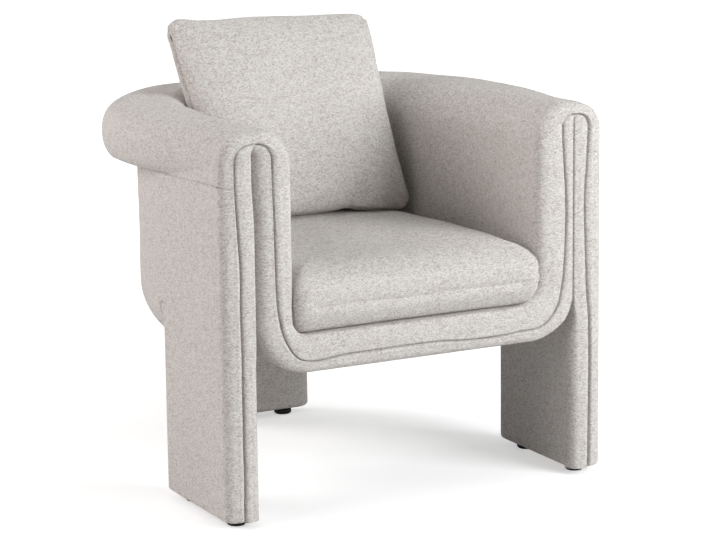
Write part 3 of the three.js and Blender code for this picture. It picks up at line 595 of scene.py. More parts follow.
def front_border():
    """Cloth between the front seam and the groove, from one foot over both arms to the other."""
    sheet = Sheet()
    right, left = border_half(1), border_half(-1)
    seam, edge = both_sides(right[0], left[0]), both_sides(right[1], left[1])
    depth = np.r_[right[2], left[2][::-1][1:]]
    width = np.linalg.norm(edge - seam, axis=1)
    unit = (edge - seam) / width[:, None]
    along = run_of(seam)
    on_leg = np.abs(seam[:, 0]) > 320
    # Rounding into the groove: tight on the right, fuller on the left and below.
    on_right = seam[:, 0] > 0
    wide = np.where(on_leg, np.where(on_right, 4, 10), np.where(on_right, 3, 27))
    rounding = np.minimum(np.where(seam[:, 1] < 300, 17, wide), 0.86 * width)
    rounding = np.convolve(np.pad(rounding, 9, mode="edge"), np.ones(19) / 19, "valid")
    bulge = np.where(on_leg, 1.6, 1.2)
    share = seam_share(seam)
    rows = []
    for t in np.linspace(0, 1, 13) ** 1.7:
        inset = (width - rounding) * t
        depths = dip(inset) * share - bulge * math.sin(math.pi * t) ** 2
        rows.append(np.c_[seam + unit * inset[:, None], depths])
    for a in np.linspace(0, math.pi / 2, 14)[1:]:
        inset = width - rounding + rounding * math.sin(a)
        depths = depth * (1 - math.cos(a)) + dip(inset) * share
        rows.append(np.c_[seam + unit * inset[:, None], depths])
    p = np.stack(rows)[..., [0, 2, 1]]
    distance = np.linalg.norm(p[..., [0, 2]] - seam, axis=-1)
    p = gathers(p, along[None, :], distance, 23)
    sheet.grid(p)

    # Sides and underside of the tub's front, run back from the border's edge.
    tub = np.flatnonzero((np.abs(seam[:, 0]) < 300) & (edge[:, 1] < 600))
    back = [p[-1, tub]]
    for y in [30, 45, 70, 110, 160, 215, 262, 268]:
        side_x = np.clip(edge[tub, 0], -TUB_SIDE, TUB_SIDE)
        back.append(np.c_[side_x, np.full(len(tub), y), edge[tub, 1]])
    sheet.grid(np.stack(back))
    return sheet.make("front_border")


# ---------------------------------------------------------------- outside cloth and front legs

JOIN = 236.0  # where the leg's side passes into the wall
KNEE = BOTTOM + EDGE_RADIUS  # where the wall turns under the tub
BEHIND_LEGS = LEG_DEPTH + 0.3
# Distances below the seam, down to the knee, for the middle of the back
LEVELS = np.r_[0, 1.2, 2.6, 4.5, 7, np.arange(9.5, 236, 2.0)]
LEG_MIDDLE = np.array([(HALF + LEG_INNER) / 2, LEG_DEPTH / 2])
LEG_HALF = np.array([(HALF - LEG_INNER) / 2, LEG_DEPTH / 2])
HEM_TURN = 8.0  # radius at the lower edge of a leg
HEM_ROWS = [20, 17.5, 15, 13.2, HEM]
TUB_MIDDLE = np.array([0, 330, 0])


def leg_seam_level(y):
    """Height of the seam under the roll, along the outside of a leg."""
    return mix(SEAM_LEVEL_FRONT, float(seam_level(JOIN)), smooth(y, 0, JOIN))


def leg_ring(z, side, whole):
    """Plan of a front leg, from the seam on its front round its outside."""
    width = HALF - float(leg_seam(z, side))
    edge = min(LEG_RADIUS, ROUND_SHARE * width)
    ring = []
    for t in 1 - (1 - np.linspace(1, 0, 14)[:-1]) ** 1.8:
        inset = edge + (width - edge) * t
        ring.append((HALF - inset, swell(t) + float(dip(width - inset))))
    ring += [*arc(HALF - edge, edge, edge, -90, 0, 11)]
    ring += [*wall(np.linspace(24, JOIN, 30), np.zeros(30))]
    if not whole:
        return np.array(ring)
    # Below the knee: round the back and up the inside to the groove.
    rear = mix(LEG_RADIUS, 1.5, float(smooth(z, 325, 367)))
    ring += [*arc(HALF - rear, LEG_DEPTH - rear, rear, 0, 90, 10)]
    ring += [(x, LEG_DEPTH) for x in np.linspace(HALF - rear, LEG_INNER + rear, 7)[1:]]
    ring += [*arc(LEG_INNER + rear, LEG_DEPTH - rear, rear, 90, 180, 9)[1:]]
    ring += [(LEG_INNER - 0.2, y) for y in np.linspace(LEG_DEPTH - rear, GROOVE_DEPTH, 22)[1:]]
    ring[-1] = (float(groove_place(z, side)), float(groove_depth(z, side)))
    return np.array(ring)


def leg_pulls(p, side):
    """Gathers beside the seam on a leg's front, and slight pulls along its outer edge."""
    z = p[..., 2]
    distance = np.abs(p[..., 0] - leg_seam(z, side)) + 100 * (p[..., 1] >= 20)
    p = gathers(p, z, distance, 31)
    p[..., 0] += 0.4 * waver(z, 37, 11) * hill(p[..., 0], HALF, 4) * hill(p[..., 1], 26, 20)
    return p


def hem_inset(z):
    """How far the lower edge of a leg is turned in at a height."""
    if z >= 20:
        return 0.0
    return HEM_TURN * (1 - math.sqrt(max(0, 1 - ((20 - z) / HEM_TURN) ** 2)))


def leg_below_knee(side):
    """Rows of a front leg's cloth, from the knee down to the hem, which turns in."""
    rows = []
    for z in np.r_[np.arange(KNEE, 22, -2.0), HEM_ROWS]:
        ring = leg_ring(z, side, True)
        ring = LEG_MIDDLE + (ring - LEG_MIDDLE) * (1 - hem_inset(z) / LEG_HALF)
        rows.append(np.c_[ring, np.full(len(ring), z)])
    return leg_pulls(np.stack(rows), side)


def outside_cloth():
    """Cloth round the outside of the tub and over the front legs."""
    sheet = Sheet()
    stations = np.r_[JOIN, 246, 257, BEHIND_LEGS, np.linspace(284, LENGTH / 2, 48)]
    stations = np.r_[stations, LENGTH - stations[::-1][1:]]

    def wall_levels(run):
        """Heights of the wall's rows, from the seam under the roll down to the knee."""
        top = float(seam_level(run))
        return top - LEVELS * (top - KNEE) / LEVELS[-1]

    columns = []
    for run in stations:
        z = wall_levels(run)
        inward = -side_dip(float(seam_level(run)) - z)
        columns.append(np.c_[wall(np.full(len(z), run), inward), z])
    upper = np.stack(columns)
    away = smooth(upper[..., 1], LEG_DEPTH, LEG_DEPTH + 80)
    shape = unevenness(upper, 7, 170) * away * smooth(upper[..., 2], KNEE, KNEE + 40)
    outward = upper - TUB_MIDDLE
    outward[..., 2] = 0
    outward /= np.linalg.norm(outward, axis=-1, keepdims=True)
    sheet.grid(upper + outward * shape[..., None])

    # Curve under the wall and the strip to the dust cloth, behind the front legs.
    behind = stations[(stations > LEG_DEPTH) & (stations < LENGTH - LEG_DEPTH)]
    columns = []
    for run in behind:
        bend = arc(-EDGE_RADIUS, KNEE, EDGE_RADIUS, 0, -90, 24)
        under = np.stack([np.linspace(-EDGE_RADIUS, -174, 9), np.full(9, BOTTOM)], -1)[1:]
        profile = np.vstack([bend, under])
        columns.append(np.c_[wall(np.full(len(profile), run), profile[:, 0]), profile[:, 1]])
    lower = np.stack(columns)
    lower[..., 1] = np.maximum(lower[..., 1], BEHIND_LEGS)
    sheet.grid(lower)
    # Ends of the wall, behind the legs and against the tub's front.
    for side, end in ((1, lower[0]), (-1, lower[-1])):
        bend = end[:24] * [side, 1, 1]
        middle = TUB_SIDE - CORNER_RADIUS, BOTTOM + CORNER_RADIUS
        inner = arc(*middle, CORNER_RADIUS - 1, 0, -90, 24)
        inner = np.c_[inner[:, 0], np.full(24, BEHIND_LEGS), inner[:, 1]]
        face = bend + (inner - bend) * np.linspace(0, 1, 4)[:, None, None]
        sheet.grid(face * [side, 1, 1], flip=side > 0)

    for side in (1, -1):
        sign = np.array([side, 1, 1])
        # Above the knee a leg's outside is one with the wall.
        top = []
        for z in wall_levels(JOIN):
            ring = leg_ring(z, side, False)
            share = (z - KNEE) / (float(seam_level(JOIN)) - KNEE)
            high = leg_seam_level(ring[:, 1])
            level = mix(KNEE, high, share)
            on_side = ring[:, 1] > 19
            away = np.c_[np.where(on_side, 1, 0), np.where(on_side, 0, -1)]
            top.append(np.c_[ring - away * side_dip(high - level)[:, None], level])
        sheet.grid(leg_pulls(np.stack(top), side) * sign, flip=side > 0)
        below = leg_below_knee(side)
        sheet.grid(below * sign, flip=side > 0)
        hem = below[-1]
        base = hem.copy()
        base[:, :2] = LEG_MIDDLE + (hem[:, :2] - LEG_MIDDLE) * [0.4, 0.9]
        sheet.grid(np.stack([hem, base]) * sign, flip=side > 0)
    return sheet.make("outside_cloth")


# ---------------------------------------------------------------- rear leg


def rear_leg():
    """Cloth of the rear leg, whose back follows the wall."""
    sheet = Sheet()
    half, radius = REAR_LEG_HALF, REAR_LEG_RADIUS
    x = np.linspace(-half + radius, half - radius, 30)
    table = wall(np.linspace(LENGTH * 0.38, LENGTH * 0.62, 400), np.zeros(400))
    order = np.argsort(table[:, 0])

    def back_at(v):
        """Depth of the leg's back, at a distance to the side."""
        return np.interp(v, table[order, 0], table[order, 1])

    back = float(back_at(half - radius))
    rise = min(radius, (back - REAR_LEG_FRONT) / 2)
    ring = []

    def turn(cx, cy, start):
        """Adds a quarter of an ellipse, from an angle on."""
        for a in np.radians(np.linspace(start, start + 90, 12)):
            ring.append((cx + radius * math.cos(a), cy + rise * math.sin(a)))

    turn(half - radius, REAR_LEG_FRONT + rise, -90)
    turn(half - radius, back - rise, 0)
    ring += [(v, float(back_at(v))) for v in x[::-1][1:-1]]
    turn(-half + radius, back - rise, 90)
    turn(-half + radius, REAR_LEG_FRONT + rise, 180)
    ring += [(v, REAR_LEG_FRONT) for v in x[1:-1]]
    ring = np.array(ring)
    centre = ring.mean(0)
    rows = []
    for z in np.r_[372, 366, np.arange(362, 24, -4), HEM_ROWS]:
        tuck = 0.6 if z > 365 else 0
        scale = 1 - (hem_inset(z) + tuck) / np.array([half, radius])
        rows.append(np.c_[centre + (ring - centre) * scale, np.full(len(ring), z)])
    p = np.stack(rows)
    sheet.grid(p, closed=True, flip=True)
    low = p[-1].copy()
    low[:, :2] = centre + (low[:, :2] - centre) * [0.9, 0.5]
    sheet.grid(np.stack([p[-1], low]), closed=True, flip=True)
    return sheet.make("rear_leg_cloth")


# ---------------------------------------------------------------- seat cushion


def cushion_outline():
    """Plan of the cushion, and its inward directions."""
    edge = -THICK - 2.2
    radius, front = 22.0, 7.0
    cx = HALF + edge - radius
    cy = front + radius
    runs = np.linspace(cy, LENGTH - cy, 400)
    round_ = wall(runs, edge + thinning(runs))
    left = arc(-cx, cy, radius, 180, 270, 40)[1:]
    right = arc(cx, cy, radius, 270, 360, 40)[:-1]
    bow = np.array([[x, front + 4 * (1 - (x / cx) ** 2)] for x in np.linspace(-cx, cx, 60)[1:-1]])
    path = np.vstack([round_, left, bow, right, round_[:1]])
    path = resample(path, 641)[:-1]
    for _ in range(8):
        path = (np.roll(path, 1, 0) + 2 * path + np.roll(path, -1, 0)) / 4
    tangent = np.roll(path, -1, 0) - np.roll(path, 1, 0)
    tangent /= np.linalg.norm(tangent, axis=1, keepdims=True)
    inward = np.stack([-tangent[:, 1], tangent[:, 0]], -1)
    return path, inward


# Section of the cushion's side, as inset from its outline and height: from the bottom, over the
# seam with its small fold, to the top
CUSHION_SIDE = [
    (60, 331.6), (34, 331.6), (18, 332.0), (10, 333.4), (5.0, 336.5), (2.0, 341),
    (0.4, 348), (0.0, 357), (0.3, 365), (1.2, 371.5), (3.0, 376), (4.6, 378.6),
    (4.8, 379.3), (2.6, 381.4), (0.8, 386), (-0.3, 393), (-0.5, 402), (0.0, 411),
    (2.0, 420), (6.0, 428.5), (12, 435.5), (20, 440.5), (31, 444.8), (46, 448.2), (66, 450.6),
]
CUSHION_MIDDLE = np.array([0, 285.0])
CUSHION_BOTTOM, CUSHION_SEAM, CUSHION_TOP = 331.6, 379, 455
NOSE = 17  # how far the cushion's front hangs forward
# How far its front corners are pulled up, pulled in at the seam and pushed out
CORNER_LIFT, CORNER_TUCK, CORNER_PUSH = 5.5, 7, 6
DENT = 1.5  # how far the pillow presses its back down


def seat_cushion():
    """Loose cushion. Its nose hangs over the border and its front corners are pulled up."""
    sheet = Sheet()
    path, inward = cushion_outline()
    section = np.array(CUSHION_SIDE, float)
    run = run_of(section)
    fine = np.unique(np.r_[np.linspace(0, run[-1], 70), run[9:15]])
    section = np.stack([np.interp(fine, run, section[:, k]) for k in (0, 1)], -1)
    at_seam = 2.5  # the fold is left sharp up to this far from the seam
    for _ in range(3):
        keep = np.abs(section[:, 1:] - CUSHION_SEAM) < at_seam
        section = np.where(keep, section, soften(section, 1))
    along = run_of(path)
    toward = CUSHION_MIDDLE - path
    toward /= np.linalg.norm(toward, axis=1, keepdims=True)
    ahead = smooth(110 - path[:, 1], 0, 60)
    corner = hill(np.abs(path[:, 0]), 232, 22) * ahead
    straight = 14  # the inset is square to the outline up to here, and then to the middle
    rows = []
    for inset, z in section:
        from_seam = z - CUSHION_SEAM
        lift = (CORNER_LIFT * corner + 1.3 * waver(along, 47, 150)) * hill(from_seam, 0, 15)
        tuck = -CORNER_TUCK * corner * hill(from_seam, 0, 6)
        forward = NOSE * ahead * float(smooth(z, 331, 372) - smooth(z, 412, 446))
        push = CORNER_PUSH * corner * float(smooth(z, 336, 370) - smooth(z, 405, 440))
        pucker = 0.45 * waver(along, 48, 7.5) * hill(abs(from_seam), 6, 5)
        drop = -2.0 * ahead * float(smooth(z, 425, 444))
        inset = inset + tuck + pucker * (abs(from_seam) > 1)
        ring = path + inward * np.minimum(inset, straight)[:, None]
        ring += toward * np.maximum(inset - straight, 0)[:, None]
        ring += np.stack([np.sign(path[:, 0]) * push, -forward], -1)
        rows.append(np.c_[ring, z + lift + drop])
    rim = rows[-1]
    for s in np.linspace(0, 1, 34)[1:-1]:
        xy = rim[:, :2] + (CUSHION_MIDDLE - rim[:, :2]) * s
        crown = math.sin(math.pi / 2 * min(1, s * 1.15)) ** 1.2
        rows.append(np.c_[xy, rim[:, 2] + (CUSHION_TOP - rim[:, 2]) * crown])
    p = np.stack(rows)
    # The pillow presses the back down a little, and use has made the top uneven.
    dent = DENT * hill(p[..., 0], 0, 230, 6) * hill(p[..., 1], 425, 75, 4)
    high = smooth(p[..., 2], 425, 445)
    p[..., 2] -= dent * high
    p[..., 2] += 1.3 * unevenness(p, 41, 130) * high * smooth(p[..., 1], 0, 70)
    side = smooth(p[..., 2], 336, 345) * (1 - smooth(p[..., 2], 420, 436))
    wave = 0.7 * unevenness(p, 43, 70) * side
    n = len(section)
    p[:n, :, :2] += inward * (wave[:n] + 0.2)[..., None]
    sheet.grid(p, closed=True)
    sheet.fan(p[-1], np.array([[*CUSHION_MIDDLE, p[-1, :, 2].mean()]]))
    sheet.fan(p[0][::-1], np.array([[*CUSHION_MIDDLE, CUSHION_BOTTOM]]))
    return sheet.make("seat_cushion_cloth")


# ---------------------------------------------------------------- pillow

# Outline of the pillow on its own leaning plane. The right and the left hold half widths at
# heights, the top and the lower edge half heights at widths, all as shares from -1 to 1.
PILLOW_RIGHT = [
    (-1, 219), (-0.9, 219), (-0.7, 207), (-0.4, 195), (0, 189),
    (0.4, 189.5), (0.8, 196), (0.93, 203), (1, 202),
]
PILLOW_LEFT = [
    (-1, 214), (-0.9, 214), (-0.7, 209), (-0.4, 206), (0, 208),
    (0.2, 212), (0.4, 217), (0.8, 224), (0.93, 229), (1, 230),
]
PILLOW_TOP = [
    (-1, 202), (-0.9, 206), (-0.72, 197), (-0.5, 197), (-0.2, 201),
    (0, 201), (0.4, 201), (0.75, 204), (0.93, 206), (1, 202),
]
PILLOW_LOW = [
    (-1, 198), (-0.9, 197), (-0.5, 194), (-0.1, 193), (0.2, 190), (0.33, 187),
    (0.38, 180), (0.43, 188), (0.6, 191), (0.8, 194), (0.93, 200), (1, 199),
]
PILLOW_HALF_WIDTH, PILLOW_HALF_HEIGHT, PILLOW_HALF_THICK = 205, 198, 71
PILLOW_DEPTH = 503.0  # the chair's front to the pillow's middle
PILLOW_LEAN, PILLOW_TILT = math.radians(25.6), math.radians(2.5)
PILLOW_CORNER = 11  # how far its corners are rounded off
PILLOW_FULL = 0.44  # how soon it is full behind its edge: later with a larger power
PILLOW_CURL = 22  # how far its sides come forward
PILLOW_GROOVE, PILLOW_GROOVE_RIGHT = 5.5, 1.5  # how deep its seam lies
CATCH_X, CATCH_Z = 83, -190  # where the lower edge is caught up


def folds(dx, dz, count, phase, middle, width):
    """Folds that fan out from a place, at distances from it that have this middle and width."""
    turn, far = np.arctan2(dz, dx), np.hypot(dx, dz)
    return np.cos(turn * count + phase) * hill(far, middle, width)


def pillow():
    """Loose pillow that leans back and stands a little askew, with a seam round its edge."""
    sheet = Sheet()
    lo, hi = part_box("pillow_cover")
    n = 130
    g = np.linspace(-1, 1, n + 1)
    g = np.sign(g) * (1 - (1 - np.abs(g)) ** 2.1)  # closer together near the edges
    u, v = np.meshgrid(g, g)
    left, right = -curve(PILLOW_LEFT, v), curve(PILLOW_RIGHT, v)
    low, top = -curve(PILLOW_LOW, u), curve(PILLOW_TOP, u)
    x = left + (right - left) * (u + 1) / 2
    z = low + (top - low) * (v + 1) / 2
    corner = (np.abs(u) * np.abs(v)) ** 11
    x -= np.sign(u) * PILLOW_CORNER * corner
    z -= np.sign(v) * PILLOW_CORNER * corner
    full = ((1 - u**2) * (1 - v**2)) ** PILLOW_FULL * (1 + 0.06 * u * u + 0.06 * v * v)
    forward = PILLOW_CURL * u * u * (1 - v * v)
    from_edge = np.minimum(1 - np.abs(u), 1 - np.abs(v)) * PILLOW_HALF_WIDTH
    at_edge = powered(u, 60), powered(v, 60)
    pinch = hill(x, CATCH_X, 26) * hill(z, -176, 30)
    around_edge = np.arctan2(z, x) * 260
    for face, flip in ((-1, False), (1, True)):
        y = face * PILLOW_HALF_THICK * full
        p = np.stack([x, y, z], -1)
        soft = unevenness(p, 51 if face < 0 else 52, 110)
        small = unevenness(p, 53 if face < 0 else 54, 45)
        y = y + (2.6 * soft + 0.7 * small) * full
        # Folds that run in from the corners and from where the lower edge is caught up.
        for cu, cv, phase in ((1, 1, 81), (-1, 1, 82), (1, -1, 83), (-1, -1, 84)):
            dx, dz = PILLOW_HALF_WIDTH - cu * x, PILLOW_HALF_HEIGHT - cv * z
            y = y + face * 2.2 * folds(dx, dz, 9, phase, 34, 24)
        y = y + face * 2.4 * folds(x - CATCH_X, z - CATCH_Z, 7, 0, 30, 20)
        y = y - face * 9 * pinch * full
        y = y + face * 0.5 * waver(around_edge, 57, 9.0) * hill(from_edge, 7, 7)
        groove = np.where(x > 150, PILLOW_GROOVE_RIGHT, PILLOW_GROOVE) * np.exp(-np.abs(y) / 2.6)
        # The back half stands past the seam on the left, as it leans on the rim there.
        past = ((x < -120) & (face > 0)) * (1 - v**6)
        past = past * 4 * (smooth(y, 0, 12) - smooth(y, 24, 60))
        q = [x - at_edge[0] * groove - past, y - forward, z - at_edge[1] * groove]
        turned = Matrix.Rotation(-PILLOW_LEAN, 3, "X") @ Matrix.Rotation(PILLOW_TILT, 3, "Y")
        q = np.stack(q, -1) @ np.array(turned).T
        q += np.array([0, PILLOW_DEPTH, (lo.z + hi.z) / 2 / MM])
        sheet.grid(q, flip=flip)
    return sheet.make("pillow_cloth", 0.05)


# ---------------------------------------------------------------- materials


def linear(code):
    """Linear colour from an sRGB hex code."""
    out = []
    for k in (0, 2, 4):
        c = int(code[k : k + 2], 16) / 255
        out.append(c / 12.92 if c <= 0.04045 else ((c + 0.055) / 1.055) ** 2.4)
    return (*out, 1.0)


class Nodes:
    """A material's node tree, with a short way to add nodes."""

    def __init__(self, name):
        self.material = bpy.data.materials.new(name)
        self.material.use_nodes = True
        self.tree = self.material.node_tree
        self.shader = self.tree.nodes["Principled BSDF"]

    def add(self, kind, links=None, **values):
        """A new node, with what its sockets hold or are linked to, and with its settings."""
        node = self.tree.nodes.new(kind)
        for key, value in values.items():
            setattr(node, key, value)
        for socket, source in (links or {}).items():
            target = node.inputs[socket]
            if hasattr(source, "links"):
                self.tree.links.new(source, target)
            else:
                target.default_value = source
        return node

    def link(self, source, socket):
        """Leads a node's output to the shader."""
        self.tree.links.new(source, self.shader.inputs[socket])


# Chenille, woven of thick looped yarn: matt and soft. Its loops and short slubs throw small
# shadows and differ in shade, so it is speckled from near and an even warm grey from afar.
CLOTH_SHADES = ((0.50, "B8ACA6"), (0.66, "CEC7C2"), (0.80, "DAD6D2"), (1.0, "E6E3E0"))
SLUB_HEIGHT = 1.282  # a slub is twice as long, and lies mostly across
FIBRE_SIZE, PATCH_SIZE = 1.25, 11.11
STRAY, STRAY_SIZE = 5, 9.09  # how far the slubs' rows stray, and over what length
YARN_RELIEF = 2.1 * MM


def cloth_material(name, turn=0.0):
    """The chenille, with its pattern turned by an angle."""
    n = Nodes(name)
    place = n.add("ShaderNodeTexCoord").outputs["Object"]
    values = {"Vector": place, "Scale": (1 / MM,) * 3, "Rotation": (turn,) * 3}
    mm = n.add("ShaderNodeMapping", values).outputs["Vector"]
    values = {"Vector": mm, "Scale": 1 / STRAY_SIZE, "Detail": 1.0}
    stray = n.add("ShaderNodeTexNoise", values).outputs["Color"]
    values = {0: stray, 1: (STRAY,) * 3}
    stray = n.add("ShaderNodeVectorMath", values, operation="MULTIPLY").outputs[0]
    bent = n.add("ShaderNodeVectorMath", {0: mm, 1: stray}, operation="ADD").outputs[0]
    slub = n.add("ShaderNodeMapping", {"Vector": bent, "Scale": (0.5, 0.5, 1.0)}).outputs["Vector"]
    values = {"Vector": slub, "Scale": 1 / SLUB_HEIGHT, "Randomness": 1.0}
    loops = n.add("ShaderNodeTexVoronoi", values).outputs
    shade = n.add("ShaderNodeSeparateColor", {"Color": loops["Color"]}).outputs["Red"]
    values = {"Vector": mm, "Scale": 1 / FIBRE_SIZE, "Detail": 3.0, "Roughness": 0.7}
    fibre = n.add("ShaderNodeTexNoise", values).outputs["Fac"]
    values = {"Vector": mm, "Scale": 1 / PATCH_SIZE, "Detail": 2.0}
    patch = n.add("ShaderNodeTexNoise", values).outputs["Fac"]

    # Each slub has its shade, its fibres vary round that, and so do patches of the cloth.
    tone = n.add("ShaderNodeMath", {0: shade, 1: 0.5}, operation="MULTIPLY").outputs[0]
    values = {0: fibre, 1: 0.75, 2: tone}
    tone = n.add("ShaderNodeMath", values, operation="MULTIPLY_ADD").outputs[0]
    values = {0: patch, 1: 0.25, 2: tone}
    tone = n.add("ShaderNodeMath", values, operation="MULTIPLY_ADD").outputs[0]
    colour = n.add("ShaderNodeValToRGB", {"Fac": tone})
    elements = colour.color_ramp.elements
    while len(elements) < len(CLOTH_SHADES):
        elements.new(0.5)
    for element, (position, code) in zip(elements, CLOTH_SHADES):
        element.position, element.color = position, linear(code)
    n.link(colour.outputs["Color"], "Base Color")

    # Loops stand up in their middles, under the fibres' own relief.
    nub = n.add("ShaderNodeMath", {0: loops["Distance"], 1: -0.55}, operation="MULTIPLY").outputs[0]
    values = {0: fibre, 1: 0.9, 2: nub}
    height = n.add("ShaderNodeMath", values, operation="MULTIPLY_ADD").outputs[0]
    values = {"Height": height, "Strength": 0.8, "Distance": YARN_RELIEF}
    n.link(n.add("ShaderNodeBump", values).outputs["Normal"], "Normal")
    n.shader.inputs["Roughness"].default_value = 0.97
    n.shader.inputs["Specular IOR Level"].default_value = 0.12
    n.shader.inputs["Sheen Weight"].default_value = 0.12
    n.shader.inputs["Sheen Roughness"].default_value = 0.5
    return n.material


def plain_material(name, dark, light, grain, roughness, bump=0.2, stretch=(1, 1, 1), metallic=0.0):
    """Two close shades that vary at the grain's size, with a matching relief."""
    n = Nodes(name)
    place = n.add("ShaderNodeTexCoord").outputs["Object"]
    values = {"Vector": place, "Scale": tuple(s / MM for s in stretch)}
    mm = n.add("ShaderNodeMapping", values).outputs["Vector"]
    noise = n.add("ShaderNodeTexNoise", {"Vector": mm, "Scale": 1 / grain, "Detail": 4.0})
    noise = noise.outputs["Fac"]
    colour = n.add("ShaderNodeValToRGB", {"Fac": noise})
    elements = colour.color_ramp.elements
    for element, (position, code) in zip(elements, ((0.35, dark), (0.65, light))):
        element.position, element.color = position, linear(code)
    n.link(colour.outputs["Color"], "Base Color")
    height = n.add("ShaderNodeBump", {"Height": noise, "Strength": bump, "Distance": 0.5 * MM})
    n.link(height.outputs["Normal"], "Normal")
    n.shader.inputs["Roughness"].default_value = roughness
    n.shader.inputs["Metallic"].default_value = metallic
    return n.material


cloth = cloth_material("woven chenille")
# On the loose cushions the pattern lies a little askew, so it doesn't run on from the chair's.
cloth_cushion = cloth_material("woven chenille, cushions", 0.04)
# Polyester decking cloth, plain woven: a dull, darker grey without nubs.
decking = plain_material("woven decking cloth", "8E8984", "A7A29D", 0.909, 0.9, 0.5)
# Polyurethane foam, cut from a block: pale yellow and dead matt.
foam = plain_material("cut upholstery foam", "D9CC97", "E8DDB4", 2, 0.95)
# Polyester wadding, carded: white, with soft wide lumps.
wadding = plain_material("carded polyester wadding", "E2E1DD", "F4F3F0", 8.33, 0.98, 0.5)
# Birch plywood, sanded: warm light brown, with a faint upright grain.
plywood = plain_material("sanded birch plywood", "B78F5E", "D2AF7C", 20, 0.6, 0.1, (1, 1, 0.15))
# Hardwood, sawn: a deeper brown, with long grain across the chair.
timber = plain_material("sawn hardwood", "9C7147", "BD915F", 25, 0.65, 0.2, (0.2, 1, 1))
# Fibreboard, pressed: dark brown and even.
hardboard = plain_material("pressed fibreboard", "6B4F33", "83633F", 3.33, 0.85)
# Jute and rubber webbing, woven: nearly black, coarse and matt.
webbing = plain_material("woven webbing", "2C2925", "4A443D", 1.11, 0.85, 0.6)
# Polypropylene dust cloth, spun: black, thin and dull.
lining = plain_material("spun dust cloth", "0C0C0D", "1A1A1B", 1.25, 0.95, 0.4)
# Steel, zinc plated: bright pale grey, with blurred reflections.
steel = plain_material("zinc plated steel", "9DA1A4", "C3C6C8", 5, 0.35, 0.05, metallic=1.0)
# Polypropylene, moulded: black, with a slight gloss.
glides = plain_material("moulded polypropylene", "0B0B0B", "161616", 2.5, 0.42, 0.08)
# Polyester zip tape, woven: the cloth's grey, but darker and fine.
tape = plain_material("woven zip tape", "A9A39D", "C2BCB6", 1.11, 0.85, 0.4)

CAD_FINISH = {
    "foam": foam,
    "wadding": wadding,
    "board": plywood,
    "timber": timber,
    "fibreboard": hardboard,
    "webbing": webbing,
    "dust_cloth": lining,
    "bolt_steel": steel,
    "glide_plastic": glides,
    "zip_tape": tape,
    "cloth": cloth,
}
slots = {s["node"]: s["material_slot"] for s in frame["record"]["subparts"]}
for name, obj in frame["nodes"].items():
    obj.data.materials.clear()
    obj.data.materials.append(CAD_FINISH[slots[name]])


# ---------------------------------------------------------------- pieces


def dress(obj, body, material, *nodes):
    """Gives a piece its cloth and the body that it rides on, in place of some of the part's."""
    obj.data.materials.append(material)
    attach(obj, body)
    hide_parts(*nodes)
    return obj


def flat_cloth(name, node):
    """Cloth pulled flat over a piece that is hardly seen, with that piece's own form."""
    under = frame["nodes"][node]
    mesh = bpy.data.meshes.new(name)
    places = [under.matrix_world @ v.co for v in under.data.vertices]
    mesh.from_pydata(places, [], [tuple(p.vertices) for p in under.data.polygons])
    return add_object(name, mesh)


dress(inside_cloth(), "chair", cloth, "inside_cover", "rim_foam")
dress(
    front_border(), "chair", cloth,
    "front_border_cover", "front_padding", "arm_facing_left", "arm_facing_right",
)
dress(
    outside_cloth(), "chair", cloth, "outside_cover",
    "leg_cover_left", "leg_cover_right", "leg_padding_left", "leg_padding_right",
)
dress(rear_leg(), "chair", cloth, "rear_leg_cover")
cushion = dress(seat_cushion(), "seat_cushion", cloth_cushion, "seat_cushion_cover")
pillow_piece = dress(pillow(), "pillow", cloth_cushion, "pillow_cover")
dress(flat_cloth("deck_cloth", "seat_deck"), "chair", decking, "seat_deck")
dress(flat_cloth("dust_cloth", "dust_cover"), "chair", lining, "dust_cover")


# ---------------------------------------------------------------- stage

FLOOR_GLOW = 0.49  # painted glow that the camera sees in the floor under the chair
FLOOR_GLOW_AWAY = 1.1  # and away from it
FLOOR_FADE = 0.9, 2.8  # from one to the other between these distances, in metres
FLOOR_HALF = 16.0  # in metres, as are the lamps' places
LAMP_SIZE = 2.4
LAMPS_AIM = Vector((0, 0, 0.4))
# Soft boxes round the chair: place, power and tint
COOL, WARM = (0.975, 1.0, 1.0), (1.0, 0.965, 0.955)
LAMPS = {
    "key": ((2.2, -3.8, 2.0), 214, COOL),
    "left_fill": ((-4.2, -0.6, 1.5), 64, WARM),
    "right_fill": ((4.2, -0.6, 1.8), 26, COOL),
    "top": ((0.0, -0.3, 4.0), 32, COOL),
    "rear": ((0.4, 3.4, 3.0), 16, COOL),
    "rear_left": ((-3.0, 2.6, 2.6), 110, WARM),
}


